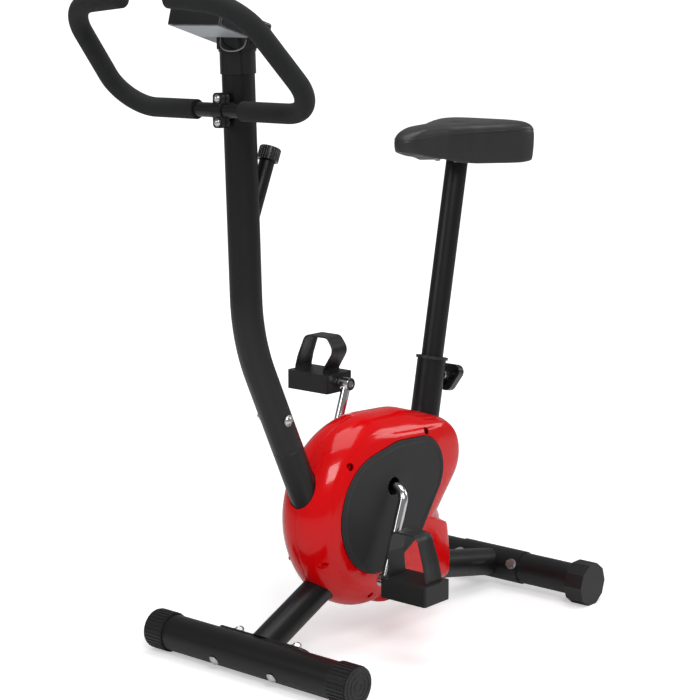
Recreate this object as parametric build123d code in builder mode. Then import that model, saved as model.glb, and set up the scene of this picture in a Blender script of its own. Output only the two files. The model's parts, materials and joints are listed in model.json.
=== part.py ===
from build123d import *
import os
from math import asin, cos, radians, sin, tan

os.makedirs("parts", exist_ok=True)

# Upright exercise bike. +X is forward, +Y is the rider's left, +Z is up.
# The origin is on the floor under the middle of the bike. Sizes are in millimetres and degrees.

# ---- driving dimensions -------------------------------------------------------------------------

FRONT_FOOT_X, FRONT_FOOT_Z = 233.0, 33.0
REAR_FOOT_X, REAR_FOOT_Z = -425.0, 39.0
FOOT_HALF_LENGTH = 217.0
FRAME_TUBE_R, FRAME_WALL = 25.0, 2.0
FOOT_TUBE_R = 30.0
REAR_INSERT_R = 28.0
REAR_SLEEVE_HALF = 68.0

FRONT_RISE = 25.0
REAR_RISE = 10.8
BOTTOM_APEX = (30.3, 127.5)
BOTTOM_BEND_R = 200.0

POST_JOINT = (151.2, 360.0)
POST_BEND = (241.3, 545.6)
POST_TOP = (258.7, 985.0)
POST_BEND_R = 316.0
POST_FOOT = (33.0, 117.0)

SEAT_LEAN = 11.0
SEAT_TUBE_TOP = (-227.0, 449.0)
SEAT_TUBE_LENGTH = 345.0
SEAT_POST_R = 19.0
SEAT_POST_TOP_DISTANCE = 364.0
SEAT_POST_INSERTED = 120.0

CRANK = (-47.0, 267.0)
ARM_FORWARD, ARM_DROP = 53.0, 146.0
ARM_PLANE_Y = 86.0
CRANK_BAR_R = 8.0

FLYWHEEL = (-8.6, 171.0)
FLYWHEEL_R = 75.0
DRIVE_PULLEY_R, DRIVEN_PULLEY_R = 72.0, 18.0

BAR_AXIS = (297.4, 899.0)
BAR_R, GRIP_R = 11.0, 15.0
BAR_LOW_Y, BAR_BENDS = 200.8, (58.0, 72.0)
BAR_HIGH = (439.0, 172.1, 1051.9)
BAR_END = (448.0, 48.4, 1062.5)
GRIP_INNER_Y = 47.0

CONSOLE_FRONT_EDGE = (352.0, 1025.0)
CONSOLE_TILT = 15.6
CONSOLE_LENGTH, CONSOLE_WIDTH, CONSOLE_DEPTH = 108.0, 110.0, 30.0

SEAT_UNDERSIDE_Z = 804.0
SEAT_SKIRT_Z, SEAT_TOP_Z = 789.0, 860.0

PLATE_OUTER_Y = 62.0
COVER_WALL = 2.5

FIT = 0.08
GAP = 0.3


# ---- helpers ------------------------------------------------------------------------------------

def save(builder, name):
    """Label a finished sub-part and write it to a STEP file of the same name."""
    builder.part.label = name
    export_step(builder.part, f"parts/{name}.step")


def at(x, y, z, toward):
    """A plane at a point whose normal points toward a direction."""
    return Plane(origin=(x, y, z), z_dir=toward)


def across(x, y, z):
    """A plane at a point whose normal is +Y, the rider's left."""
    return Plane(origin=(x, y, z), x_dir=(1, 0, 0), z_dir=(0, 1, 0))


def ring(plane, outer, length, bore=0.0, mode=Mode.ADD):
    """Extrude a disc, or a ring when it has a bore, from a plane along its normal."""
    with BuildSketch(plane) as profile:
        Circle(outer)
        if bore:
            Circle(bore, mode=Mode.SUBTRACT)
    extrude(profile.sketch, amount=length, mode=mode)


def hexagon(plane, across_flats, length, mode=Mode.ADD):
    """Extrude a hexagon of a given width across its flats."""
    with BuildSketch(plane) as profile:
        RegularPolygon(across_flats / 2, 6, major_radius=False)
    extrude(profile.sketch, amount=length, mode=mode)


def tube(path, outer, bore=0.0, mode=Mode.ADD):
    """Sweep a round tube, or a bar when it has no bore, along a line."""
    with BuildSketch(Plane(origin=path @ 0, z_dir=path % 0)) as profile:
        Circle(outer)
        if bore:
            Circle(bore, mode=Mode.SUBTRACT)
    sweep(profile.sketch, path=path, mode=mode)


def dome(plane, radius, height):
    """Revolve a cap of a ball that stands on a plane, such as a bolt head."""
    ball = (radius ** 2 + height ** 2) / (2 * height)
    half_angle = asin(radius / ball) / 2
    crown = (ball * sin(half_angle), height - ball * (1 - cos(half_angle)))
    with BuildSketch(Plane(origin=plane.origin, x_dir=plane.x_dir, z_dir=-plane.y_dir)) as profile:
        with BuildLine():
            Line((0, 0), (radius, 0))
            ThreePointArc((radius, 0), crown, (0, height))
            Line((0, height), (0, 0))
        make_face()
    revolve(profile.sketch, axis=Axis(plane.origin, plane.z_dir))


def hull_of(circles):
    """Draw the outline that a taut band makes around circles, each x, z and radius."""
    for x, z, radius in circles:
        with BuildSketch(mode=Mode.PRIVATE) as disc:
            with Locations((x, z)):
                Circle(radius)
        add(disc.sketch)
    make_hull()


def side(direction):
    """Name a side of the bike by the sign of its Y."""
    return "left" if direction > 0 else "right"


# ---- planes and lines of the frame --------------------------------------------------------------

UP_FRONT = Vector(-cos(radians(FRONT_RISE)), 0, sin(radians(FRONT_RISE)))
UP_REAR = Vector(cos(radians(REAR_RISE)), 0, sin(radians(REAR_RISE)))
FRONT_BOLT_UP = Vector(-cos(radians(30)), 0, sin(radians(30)))
REAR_BOLT_UP = Vector(cos(radians(22)), 0, sin(radians(22)))
UP_SEAT = Vector(-sin(radians(SEAT_LEAN)), 0, cos(radians(SEAT_LEAN)))
FRONT_AXLE = Vector(FRONT_FOOT_X, 0, FRONT_FOOT_Z)
REAR_AXLE = Vector(REAR_FOOT_X, 0, REAR_FOOT_Z)
SEAT_TOP = Vector(SEAT_TUBE_TOP[0], 0, SEAT_TUBE_TOP[1])
POST_LOW = Vector(POST_JOINT[0], 0, POST_JOINT[1])
UP_STUB = (Vector(POST_BEND[0], 0, POST_BEND[1]) - POST_LOW).normalized()
UP_POST = Vector(POST_TOP[0] - POST_BEND[0], 0, POST_TOP[1] - POST_BEND[1]).normalized()
FRAME_BORE = FRAME_TUBE_R - FRAME_WALL

with BuildLine(Plane.XZ) as bottom_line:
    FilletPolyline(
        (FRONT_FOOT_X, FRONT_FOOT_Z),
        BOTTOM_APEX,
        (REAR_FOOT_X, REAR_FOOT_Z),
        radius=BOTTOM_BEND_R,
    )

with BuildPart() as bottom_core:
    tube(bottom_line.line, FRAME_TUBE_R + 0.4)


# ---- base frame ---------------------------------------------------------------------------------

SADDLE_R, SADDLE_WALL, SADDLE_HALF = 30.05, 3.5, 98.0

with BuildPart() as bottom_tube:
    tube(bottom_line.line, FRAME_TUBE_R, FRAME_BORE)
    ring(across(FRONT_FOOT_X, -60, FRONT_FOOT_Z), SADDLE_R + SADDLE_WALL + 0.05, 120, mode=Mode.SUBTRACT)
    ring(across(REAR_FOOT_X, -60, REAR_FOOT_Z), FOOT_TUBE_R + 0.05, 120, mode=Mode.SUBTRACT)
save(bottom_tube, "bottom_tube")

SADDLE_PLANE = Plane(origin=FRONT_AXLE, x_dir=(0, 1, 0), z_dir=UP_FRONT)
BOLT_SPACING = 62.0

with BuildPart() as front_saddle:
    ring(across(FRONT_FOOT_X, -SADDLE_HALF, FRONT_FOOT_Z), SADDLE_R + SADDLE_WALL, 2 * SADDLE_HALF, SADDLE_R)
    with BuildSketch(SADDLE_PLANE) as saddle_outline:
        SlotOverall(2 * SADDLE_HALF, 40)
    extrude(saddle_outline.sketch, amount=60, mode=Mode.INTERSECT)
    for bolt_y in (-BOLT_SPACING, BOLT_SPACING):
        ring(Plane(origin=FRONT_AXLE + Vector(0, bolt_y, 0), z_dir=FRONT_BOLT_UP), 4.2, 60, mode=Mode.SUBTRACT)
save(front_saddle, "front_saddle")

STUB_NECK_R = 22.6

post_bolt_point = POST_LOW + UP_STUB * 56

with BuildPart() as post_stub:
    foot = Vector(POST_FOOT[0], 0, POST_FOOT[1])
    length = (POST_LOW - foot).length
    neck_bore = STUB_NECK_R - 2
    stub_plane = Plane(origin=foot, x_dir=(0, 1, 0), z_dir=Vector(0, 1, 0).cross(UP_STUB))
    with BuildSketch(stub_plane) as stub_section:
        with BuildLine():
            Polyline(
                (FRAME_BORE, 0),
                (FRAME_TUBE_R, 0),
                (FRAME_TUBE_R, length - 1.3),
                (FRAME_TUBE_R - 1.2, length - 0.1),
                (STUB_NECK_R, length - 0.1),
                (STUB_NECK_R, length + 100),
                (neck_bore, length + 100),
                (neck_bore, length - 8),
                (FRAME_BORE, length - 8),
                close=True,
            )
        make_face()
    revolve(stub_section.sketch, axis=Axis(foot, UP_STUB))
    add(bottom_core.part, mode=Mode.SUBTRACT)
    ring(across(post_bolt_point.X, -40, post_bolt_point.Z), 4.2, 80, mode=Mode.SUBTRACT)
    ring(across(97, -40, 244), 9, 40, mode=Mode.SUBTRACT)
save(post_stub, "post_stub")

SEAT_TUBE_WALL = 2.5

with BuildPart() as seat_tube:
    start = SEAT_TOP - UP_SEAT * SEAT_TUBE_LENGTH
    ring(Plane(origin=start, z_dir=UP_SEAT), FRAME_TUBE_R, SEAT_TUBE_LENGTH, FRAME_TUBE_R - SEAT_TUBE_WALL)
    add(bottom_core.part, mode=Mode.SUBTRACT)
    KNOB_BACK = Vector(-cos(radians(SEAT_LEAN)), 0, -sin(radians(SEAT_LEAN)))
    KNOB_HEIGHT = SEAT_TOP - UP_SEAT * 26
    ring(Plane(origin=KNOB_HEIGHT + KNOB_BACK * 23.5, z_dir=KNOB_BACK), 9, 10)
    ring(Plane(origin=KNOB_HEIGHT + KNOB_BACK * 15, z_dir=KNOB_BACK), 6 + FIT, 30, mode=Mode.SUBTRACT)
save(seat_tube, "seat_tube")

SHELL_R, SHELL_HALF = 27.0, 26.0

with BuildPart() as crank_bracket:
    ring(across(CRANK[0], -SHELL_HALF, CRANK[1]), SHELL_R, 2 * SHELL_HALF, SHELL_R - 4)
    riser_bottom = (CRANK[0] - 26, 0, 104)
    with BuildSketch(Plane(origin=riser_bottom, z_dir=(0.16, 0, 1))) as riser:
        Circle(19)
        Circle(17, mode=Mode.SUBTRACT)
    extrude(riser.sketch, amount=150)
    ring(across(CRANK[0], -SHELL_HALF, CRANK[1]), SHELL_R - 4, 2 * SHELL_HALF, mode=Mode.SUBTRACT)
    add(bottom_core.part, mode=Mode.SUBTRACT)
save(crank_bracket, "crank_bracket")

HOUSING_R, HOUSING_HALF = 19.0, 24.0

with BuildPart() as flywheel_housing:
    ring(across(FLYWHEEL[0], -HOUSING_HALF, FLYWHEEL[1]), HOUSING_R, 2 * HOUSING_HALF)
    with BuildSketch(Plane.XY.offset(FLYWHEEL[1] - 45)) as lug:
        with Locations((FLYWHEEL[0], 0)):
            Rectangle(24, 30)
    extrude(lug.sketch, amount=40)
    ring(across(FLYWHEEL[0], -HOUSING_HALF, FLYWHEEL[1]), 15.0, 2 * HOUSING_HALF, mode=Mode.SUBTRACT)
    add(bottom_core.part, mode=Mode.SUBTRACT)
save(flywheel_housing, "flywheel_housing")

CONE_R = 14.0

with BuildPart() as bearings:
    for low_y in (-SHELL_HALF - 1.5, SHELL_HALF - 8):
        ring(across(CRANK[0], low_y, CRANK[1]), SHELL_R - 4.05, 9.5, CONE_R + FIT)
    for low_y in (-HOUSING_HALF, HOUSING_HALF - 9):
        ring(across(FLYWHEEL[0], low_y, FLYWHEEL[1]), 14.95, 9, 6 + FIT)
save(bearings, "bearings")


# ---- feet ---------------------------------------------------------------------------------------

FRONT_CAP_LENGTH, REAR_CAP_LENGTH = 40.0, 36.0
FRONT_TUBE_HALF = FOOT_HALF_LENGTH - 5.0

with BuildPart() as front_stabiliser:
    ring(
        across(FRONT_FOOT_X, -FRONT_TUBE_HALF, FRONT_FOOT_Z),
        FOOT_TUBE_R,
        2 * FRONT_TUBE_HALF,
        FOOT_TUBE_R - 1.8,
    )
    for bolt_y in (-BOLT_SPACING, BOLT_SPACING):
        hole = Plane(origin=FRONT_AXLE - FRONT_BOLT_UP * 40 + Vector(0, bolt_y, 0), z_dir=FRONT_BOLT_UP)
        ring(hole, 4.2, 80, mode=Mode.SUBTRACT)
save(front_stabiliser, "front_stabiliser")

CAP_RIB_COUNT = 32
CAP_RIB_HEIGHT = 1.2
FRONT_CAP_R = FRONT_FOOT_Z

with BuildPart() as front_caps:
    for sign in (-1, 1):
        inner_y = FOOT_HALF_LENGTH - FRONT_CAP_LENGTH
        low_y = inner_y if sign > 0 else -FOOT_HALF_LENGTH
        ring(across(FRONT_FOOT_X, low_y, FRONT_FOOT_Z), FRONT_CAP_R - CAP_RIB_HEIGHT, FRONT_CAP_LENGTH)
        hollow_y = low_y if sign > 0 else low_y + 4
        ring(
            across(FRONT_FOOT_X, hollow_y, FRONT_FOOT_Z),
            FOOT_TUBE_R + 0.05,
            FRONT_CAP_LENGTH - 4,
            mode=Mode.SUBTRACT,
        )
        rib_plane = across(FRONT_FOOT_X, low_y + (2 if sign > 0 else 3), FRONT_FOOT_Z)
        with BuildSketch(rib_plane) as ribs:
            with PolarLocations(FRONT_CAP_R - CAP_RIB_HEIGHT / 2 - 0.2, CAP_RIB_COUNT, start_angle=90):
                Rectangle(CAP_RIB_HEIGHT + 0.4, 3.4)
        extrude(ribs.sketch, amount=FRONT_CAP_LENGTH - 5)
save(front_caps, "front_caps")

REAR_BOLT_SPACING = 58.0

with BuildPart() as rear_sleeve:
    ring(
        across(REAR_FOOT_X, -REAR_SLEEVE_HALF, REAR_FOOT_Z),
        FOOT_TUBE_R,
        2 * REAR_SLEEVE_HALF,
        REAR_INSERT_R + 0.05,
    )
    for bolt_y in (-REAR_BOLT_SPACING, REAR_BOLT_SPACING):
        hole = Plane(origin=REAR_AXLE + Vector(0, bolt_y, 0) - REAR_BOLT_UP * 40, z_dir=REAR_BOLT_UP)
        ring(hole, 4.2, 80, mode=Mode.SUBTRACT)
save(rear_sleeve, "rear_sleeve")

REAR_TUBE_HALF = 212.0

with BuildPart() as rear_feet:
    for sign in (-1, 1):
        low_y = 20 if sign > 0 else -REAR_TUBE_HALF
        ring(
            across(REAR_FOOT_X, low_y, REAR_FOOT_Z),
            REAR_INSERT_R,
            REAR_TUBE_HALF - 20,
            REAR_INSERT_R - 1.8,
        )
        hole_start = REAR_AXLE + Vector(0, sign * REAR_BOLT_SPACING, 0) - REAR_BOLT_UP * 40
        hole = Plane(origin=hole_start, z_dir=REAR_BOLT_UP)
        ring(hole, 4.2, 80, mode=Mode.SUBTRACT)
save(rear_feet, "rear_feet")

with BuildPart() as foot_bolts:
    for bolt_y in (-BOLT_SPACING, BOLT_SPACING):
        head = FRONT_AXLE + Vector(0, bolt_y, 0) - FRONT_BOLT_UP * 30.05
        nut = FRONT_AXLE + Vector(0, bolt_y, 0) + FRONT_BOLT_UP * (SADDLE_R + SADDLE_WALL + 0.1)
        ring(Plane(origin=head, z_dir=FRONT_BOLT_UP), 4.0, 72)
        ring(Plane(origin=head, z_dir=-FRONT_BOLT_UP), 9.0, 0.8)
        dome(Plane(origin=head - FRONT_BOLT_UP * 0.8, z_dir=-FRONT_BOLT_UP), 9.0, 3.6)
        ring(Plane(origin=nut, z_dir=FRONT_BOLT_UP), 10.0, 1.8)
        hexagon(Plane(origin=nut + FRONT_BOLT_UP * 1.8, z_dir=FRONT_BOLT_UP), 14, 7.0)
        dome(Plane(origin=nut + FRONT_BOLT_UP * 8.8, z_dir=FRONT_BOLT_UP), 6.4, 5.8)
    for bolt_y in (-REAR_BOLT_SPACING, REAR_BOLT_SPACING):
        head = REAR_AXLE + Vector(0, bolt_y, 0) + REAR_BOLT_UP * 30.05
        ring(Plane(origin=head - REAR_BOLT_UP * 66, z_dir=REAR_BOLT_UP), 4.0, 66)
        ring(Plane(origin=head, z_dir=REAR_BOLT_UP), 10.0, 1.6)
        hexagon(Plane(origin=head + REAR_BOLT_UP * 1.6, z_dir=REAR_BOLT_UP), 15, 6.4)
save(foot_bolts, "foot_bolts")

REAR_CAP_SIDES = 10
REAR_CAP_APOTHEM = 37.2

for sign in (-1, 1):
    with BuildPart() as rear_cap:
        inner_y = FOOT_HALF_LENGTH - 1.5 - REAR_CAP_LENGTH
        low_y = inner_y if sign > 0 else -(FOOT_HALF_LENGTH - 1.5)
        with BuildSketch(across(REAR_FOOT_X, low_y, REAR_CAP_APOTHEM)) as facets:
            RegularPolygon(REAR_CAP_APOTHEM, REAR_CAP_SIDES, major_radius=False)
        extrude(facets.sketch, amount=REAR_CAP_LENGTH)
        hollow_y = low_y if sign > 0 else low_y + 3
        ring(
            across(REAR_FOOT_X, hollow_y, REAR_FOOT_Z),
            REAR_INSERT_R + 0.1,
            REAR_CAP_LENGTH - 3,
            mode=Mode.SUBTRACT,
        )
    save(rear_cap, f"rear_cap_{side(sign)}")


# ---- handlebar post -----------------------------------------------------------------------------

with BuildLine(Plane.XZ) as post_line:
    FilletPolyline(POST_JOINT, POST_BEND, POST_TOP, radius=POST_BEND_R)

KNOB_LEAN = 23.0
KNOB_UP = Vector(-sin(radians(KNOB_LEAN)), 0, cos(radians(KNOB_LEAN)))
KNOB_CENTRE = Vector(190, 0, 828)
KNOB_R, KNOB_LENGTH = 17.0, 21.0
KNOB_BASE = KNOB_CENTRE - KNOB_UP * (KNOB_LENGTH / 2)
BOSS_R = 12.0

with BuildPart() as post:
    tube(post_line.line, FRAME_TUBE_R, FRAME_BORE)
    ring(across(post_bolt_point.X, -40, post_bolt_point.Z), 4.2, 80, mode=Mode.SUBTRACT)
    ring(Plane(origin=KNOB_BASE - KNOB_UP * 112, z_dir=KNOB_UP), 8, 60, mode=Mode.SUBTRACT)
save(post, "post")

with BuildPart() as post_core:
    tube(post_line.line, FRAME_TUBE_R + 0.03)

with BuildPart() as post_bolt:
    bolt_head = across(post_bolt_point.X, FRAME_TUBE_R + 0.6, post_bolt_point.Z)
    ring(across(post_bolt_point.X, -38, post_bolt_point.Z), 4.0, FRAME_TUBE_R + 38.5)
    ring(across(post_bolt_point.X, FRAME_TUBE_R, post_bolt_point.Z), 9.0, 1.0)
    dome(bolt_head, 8.0, 4.5)
    nut_plane = across(post_bolt_point.X, -FRAME_TUBE_R - 7.5, post_bolt_point.Z)
    hexagon(nut_plane, 13, 6.5)
    ring(across(post_bolt_point.X, -FRAME_TUBE_R - 1.0, post_bolt_point.Z), 8.5, 1.0)
save(post_bolt, "post_bolt")

with BuildPart() as tension_boss:
    ring(Plane(origin=KNOB_BASE - KNOB_UP * 100, z_dir=KNOB_UP), BOSS_R, 99.0, BOSS_R - 1.8)
    add(post_core.part, mode=Mode.SUBTRACT)
    boss_pieces = tension_boss.part.solids().sort_by(Axis.Z)
with BuildPart() as tension_boss_tube:
    add(boss_pieces[-1])
save(tension_boss_tube, "tension_boss")

FLUTES = 28

with BuildPart() as tension_knob:
    knob_plane = Plane(origin=KNOB_BASE, z_dir=KNOB_UP)
    ring(knob_plane, KNOB_R, KNOB_LENGTH)
    chamfer(tension_knob.faces().sort_by(Axis.Z)[-1].edges(), 1.6)
    with BuildSketch(knob_plane) as flutes:
        with PolarLocations(KNOB_R + 0.5, FLUTES):
            Circle(1.25)
    extrude(flutes.sketch, amount=KNOB_LENGTH, mode=Mode.SUBTRACT)
    ring(knob_plane, BOSS_R + 1.5, 5, mode=Mode.SUBTRACT)
    ring(Plane(origin=KNOB_BASE - KNOB_UP * 14, z_dir=KNOB_UP), BOSS_R - 1.8 - FIT, 22)
save(tension_knob, "tension_knob")


# ---- handlebar and its clamp --------------------------------------------------------------------

BAR_X, BAR_Z = BAR_AXIS
EAR_Z, EAR_HALF_Y = 17.5, 10.0
CLAMP_Y = 2.0

with BuildPart() as clamp_rear:
    with BuildSketch(Plane.XZ.offset(-CLAMP_Y - EAR_HALF_Y)) as rear_block:
        with Locations((BAR_X - 11.5, BAR_Z)):
            Rectangle(22, 22)
        with Locations((BAR_X - 4.2, BAR_Z)):
            Rectangle(6, 52)
    extrude(rear_block.sketch, amount=2 * EAR_HALF_Y)
    fillet(clamp_rear.edges().filter_by(Axis.X).group_by(Axis.Z)[0], 6)
    fillet(clamp_rear.edges().filter_by(Axis.X).group_by(Axis.Z)[-1], 6)
    ring(across(BAR_X, -20, BAR_Z), BAR_R + FIT, 40, mode=Mode.SUBTRACT)
    for bolt_z in (-EAR_Z, EAR_Z):
        ring(at(BAR_X - 12, CLAMP_Y, BAR_Z + bolt_z, (1, 0, 0)), 3.1, 14, mode=Mode.SUBTRACT)
    add(post_core.part, mode=Mode.SUBTRACT)
save(clamp_rear, "clamp_rear")

with BuildPart() as clamp_front:
    with BuildSketch(Plane.XZ.offset(-CLAMP_Y - EAR_HALF_Y)) as front_block:
        with Locations((BAR_X, BAR_Z)):
            Circle(13.5)
        with Locations((BAR_X + 4.2, BAR_Z)):
            Rectangle(6, 52)
        with Locations((BAR_X - 24.1, BAR_Z)):
            Rectangle(50, 60, mode=Mode.SUBTRACT)
    extrude(front_block.sketch, amount=2 * EAR_HALF_Y)
    fillet(clamp_front.edges().filter_by(Axis.X).group_by(Axis.Z)[0], 6)
    fillet(clamp_front.edges().filter_by(Axis.X).group_by(Axis.Z)[-1], 6)
    ring(across(BAR_X, -20, BAR_Z), BAR_R + FIT, 40, mode=Mode.SUBTRACT)
    for bolt_z in (-EAR_Z, EAR_Z):
        ring(at(BAR_X, CLAMP_Y, BAR_Z + bolt_z, (1, 0, 0)), 3.1, 14, mode=Mode.SUBTRACT)
save(clamp_front, "clamp_front")

with BuildPart() as clamp_bolts:
    for bolt_z in (-EAR_Z, EAR_Z):
        z = BAR_Z + bolt_z
        ring(at(BAR_X - 15.5, CLAMP_Y, z, (1, 0, 0)), 3.0, 23.5)
        ring(at(BAR_X + 7.25, CLAMP_Y, z, (1, 0, 0)), 6.2, 1.4)
        dome(at(BAR_X + 8.4, CLAMP_Y, z, (1, 0, 0)), 5.9, 4.6)
        hexagon(at(BAR_X - 12.2, CLAMP_Y, z, (1, 0, 0)), 10, 5.0)
save(clamp_bolts, "clamp_bolts")


def bar_path(start_y):
    """The line of one half of the handlebar, from the clamp to the grip's end."""
    sign = 1 if start_y >= 0 else -1
    with BuildLine() as half:
        FilletPolyline(
            (BAR_X, start_y, BAR_Z),
            (BAR_X, sign * BAR_LOW_Y, BAR_Z),
            (BAR_HIGH[0], sign * BAR_HIGH[1], BAR_HIGH[2]),
            (BAR_END[0], sign * BAR_END[1], BAR_END[2]),
            radius=BAR_BENDS,
        )
    return half.line


with BuildLine() as handlebar_line:
    FilletPolyline(
        (BAR_END[0], -BAR_END[1], BAR_END[2]),
        (BAR_HIGH[0], -BAR_HIGH[1], BAR_HIGH[2]),
        (BAR_X, -BAR_LOW_Y, BAR_Z),
        (BAR_X, BAR_LOW_Y, BAR_Z),
        BAR_HIGH,
        BAR_END,
        radius=(BAR_BENDS[1], BAR_BENDS[0], BAR_BENDS[0], BAR_BENDS[1]),
    )

with BuildPart() as handlebar:
    tube(handlebar_line.line, BAR_R, BAR_R - 1.5)
save(handlebar, "handlebar")

for sign in (-1, 1):
    grip_line = bar_path(sign * GRIP_INNER_Y)
    with BuildPart() as grip:
        tube(grip_line, GRIP_R, BAR_R + 0.02)
        dome(Plane(origin=grip_line @ 1, z_dir=grip_line % 1), GRIP_R, 7)
    save(grip, f"grip_{side(sign)}")


# ---- console ------------------------------------------------------------------------------------

TILT = radians(CONSOLE_TILT)
CONSOLE_X = Vector(cos(TILT), 0, sin(TILT))
CONSOLE_UP = Vector(-sin(TILT), 0, cos(TILT))
FRONT_EDGE = Vector(CONSOLE_FRONT_EDGE[0], 0, CONSOLE_FRONT_EDGE[1])
CONSOLE_MIDDLE = FRONT_EDGE - CONSOLE_X * (CONSOLE_LENGTH / 2)


def console_plane(height, forward=0.0):
    """A plane in the console, a height above its underside and a distance forward of its middle."""
    origin = CONSOLE_MIDDLE + CONSOLE_UP * height + CONSOLE_X * forward
    return Plane(origin=origin, x_dir=CONSOLE_X, z_dir=CONSOLE_UP)


POST_END = Vector(POST_TOP[0], 0, POST_TOP[1])
COLLAR_R = 27.0

with BuildPart() as console_collar:
    ring(Plane(origin=POST_END - UP_POST * 33, z_dir=UP_POST), COLLAR_R, 33.05, FRAME_TUBE_R + 0.05)
    ring(Plane(origin=POST_END, z_dir=UP_POST), COLLAR_R + 1.5, 3.5)
save(console_collar, "console_collar")

with BuildPart() as console_bracket:
    foot_plane = Plane(origin=POST_END + UP_POST * 3.55, x_dir=(1, 0, 0), z_dir=UP_POST)
    with BuildSketch(foot_plane) as bracket_foot:
        RectangleRounded(44, 50, 6)
    extrude(bracket_foot.sketch, amount=40)
    with BuildSketch(console_plane(-0.05)) as underside:
        Rectangle(300, 200)
    extrude(underside.sketch, amount=60, mode=Mode.SUBTRACT)
save(console_bracket, "console_bracket")

BACK_DEPTH = 17.0

with BuildPart() as console_back:
    with BuildSketch(console_plane(0)) as back_outline:
        RectangleRounded(CONSOLE_LENGTH, CONSOLE_WIDTH, 5)
    extrude(back_outline.sketch, amount=BACK_DEPTH)
    with BuildSketch(console_plane(2.2)) as back_hollow:
        RectangleRounded(CONSOLE_LENGTH - 5, CONSOLE_WIDTH - 5, 2.5)
    extrude(back_hollow.sketch, amount=BACK_DEPTH, mode=Mode.SUBTRACT)
    with BuildSketch(console_plane(0, 20)) as battery_hole:
        Rectangle(36, 62)
    extrude(battery_hole.sketch, amount=3, mode=Mode.SUBTRACT)
save(console_back, "console_back")

LID_FORWARD, LID_SIZE = 18.5, (63.0, 98.0)

with BuildPart() as battery_cover:
    with BuildSketch(console_plane(0, 20)) as battery_lid:
        Rectangle(35.6, 61.6)
    extrude(battery_lid.sketch, amount=2.2)
    with BuildSketch(console_plane(-1.3, LID_FORWARD)) as lid_flange:
        RectangleRounded(*LID_SIZE, 3)
    extrude(lid_flange.sketch, amount=1.25)
    with BuildSketch(console_plane(-0.2, 20)) as lid_joint:
        Rectangle(35.6, 61.6)
    extrude(lid_joint.sketch, amount=0.4)
save(battery_cover, "battery_cover")

BUTTON_R, BUTTON_FORWARD = 9.0, -30.0

with BuildPart() as console_bezel:
    with BuildSketch(console_plane(BACK_DEPTH)) as bezel_outline:
        RectangleRounded(CONSOLE_LENGTH, CONSOLE_WIDTH, 5)
    extrude(bezel_outline.sketch, amount=CONSOLE_DEPTH - BACK_DEPTH)
    fillet(console_bezel.edges().group_by(Axis(CONSOLE_MIDDLE, CONSOLE_UP))[-1], 3.5)
    with BuildSketch(console_plane(BACK_DEPTH)) as bezel_hollow:
        RectangleRounded(CONSOLE_LENGTH - 5, CONSOLE_WIDTH - 5, 2.5)
    extrude(bezel_hollow.sketch, amount=CONSOLE_DEPTH - BACK_DEPTH - 3, mode=Mode.SUBTRACT)
    with BuildSketch(console_plane(BACK_DEPTH, 14)) as window:
        RectangleRounded(44, 72, 4)
    extrude(window.sketch, amount=30, mode=Mode.SUBTRACT)
    ring(console_plane(BACK_DEPTH, BUTTON_FORWARD), BUTTON_R + FIT, 30, mode=Mode.SUBTRACT)
save(console_bezel, "console_bezel")

with BuildPart() as console_lens:
    with BuildSketch(console_plane(CONSOLE_DEPTH - 3, 14)) as lens:
        RectangleRounded(43.8, 71.8, 3.9)
    extrude(lens.sketch, amount=2.2)
save(console_lens, "console_lens")

with BuildPart() as console_display:
    with BuildSketch(console_plane(CONSOLE_DEPTH - 6, 14)) as display:
        Rectangle(40, 66)
    extrude(display.sketch, amount=2.6)
save(console_display, "console_display")

with BuildPart() as console_button:
    ring(console_plane(CONSOLE_DEPTH - 6, BUTTON_FORWARD), BUTTON_R, 8)
    chamfer(console_button.edges().group_by(Axis(CONSOLE_MIDDLE, CONSOLE_UP))[-1], 1)
    ring(console_plane(CONSOLE_DEPTH - 6, BUTTON_FORWARD), BUTTON_R + 2, 2.4)
save(console_button, "console_button")

# The sensor wire's visible loop, from the console's underside round the bracket into the collar.
WIRE_R = 1.1
WIRE_ROUTE = (
    (283.0, -11.0, 1005.0),
    (285.0, -10.0, 996.0),
    (289.5, -4.0, 990.5),
    (291.5, 6.0, 986.6),
    (290.0, 17.0, 985.4),
    (284.5, 26.5, 987.0),
    (278.0, 32.0, 992.5),
    (274.5, 33.0, 1002.6),
)


def widest_arcs(route):
    """For each corner of a route, the radius of an arc that uses 0.45 of the shorter run beside it."""
    points = [Vector(*point) for point in route]
    radii = []
    for before, corner, after in zip(points, points[1:], points[2:]):
        turn = (corner - before).get_angle(after - corner)
        shorter = min((corner - before).length, (after - corner).length)
        radii.append(0.45 * shorter / tan(radians(turn / 2)))
    return radii


with BuildLine() as wire_line:
    FilletPolyline(*WIRE_ROUTE, radius=widest_arcs(WIRE_ROUTE))

with BuildPart() as sensor_wire:
    tube(wire_line.line, WIRE_R)
save(sensor_wire, "sensor_wire")


# ---- seat ---------------------------------------------------------------------------------------

BUSH_R, BUSH_LENGTH = FRAME_TUBE_R - SEAT_TUBE_WALL - 0.05, 60.0

with BuildPart() as seat_bush:
    ring(Plane(origin=SEAT_TOP + UP_SEAT * 0.05, z_dir=UP_SEAT), 28.0, 5, SEAT_POST_R + FIT)
    fillet(seat_bush.edges().filter_by(GeomType.CIRCLE).sort_by(Axis.Z)[-1], 1.5)
    bush_body = Plane(origin=SEAT_TOP + UP_SEAT * 0.05 - UP_SEAT * BUSH_LENGTH, z_dir=UP_SEAT)
    ring(bush_body, BUSH_R, BUSH_LENGTH, SEAT_POST_R + FIT)
    ring(Plane(origin=KNOB_HEIGHT + KNOB_BACK * 10, z_dir=KNOB_BACK), 6.3, 30, mode=Mode.SUBTRACT)
save(seat_bush, "seat_bush")

PIN_TIP = SEAT_POST_R + 0.4

KNOB_WING_START = 50.0

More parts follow.
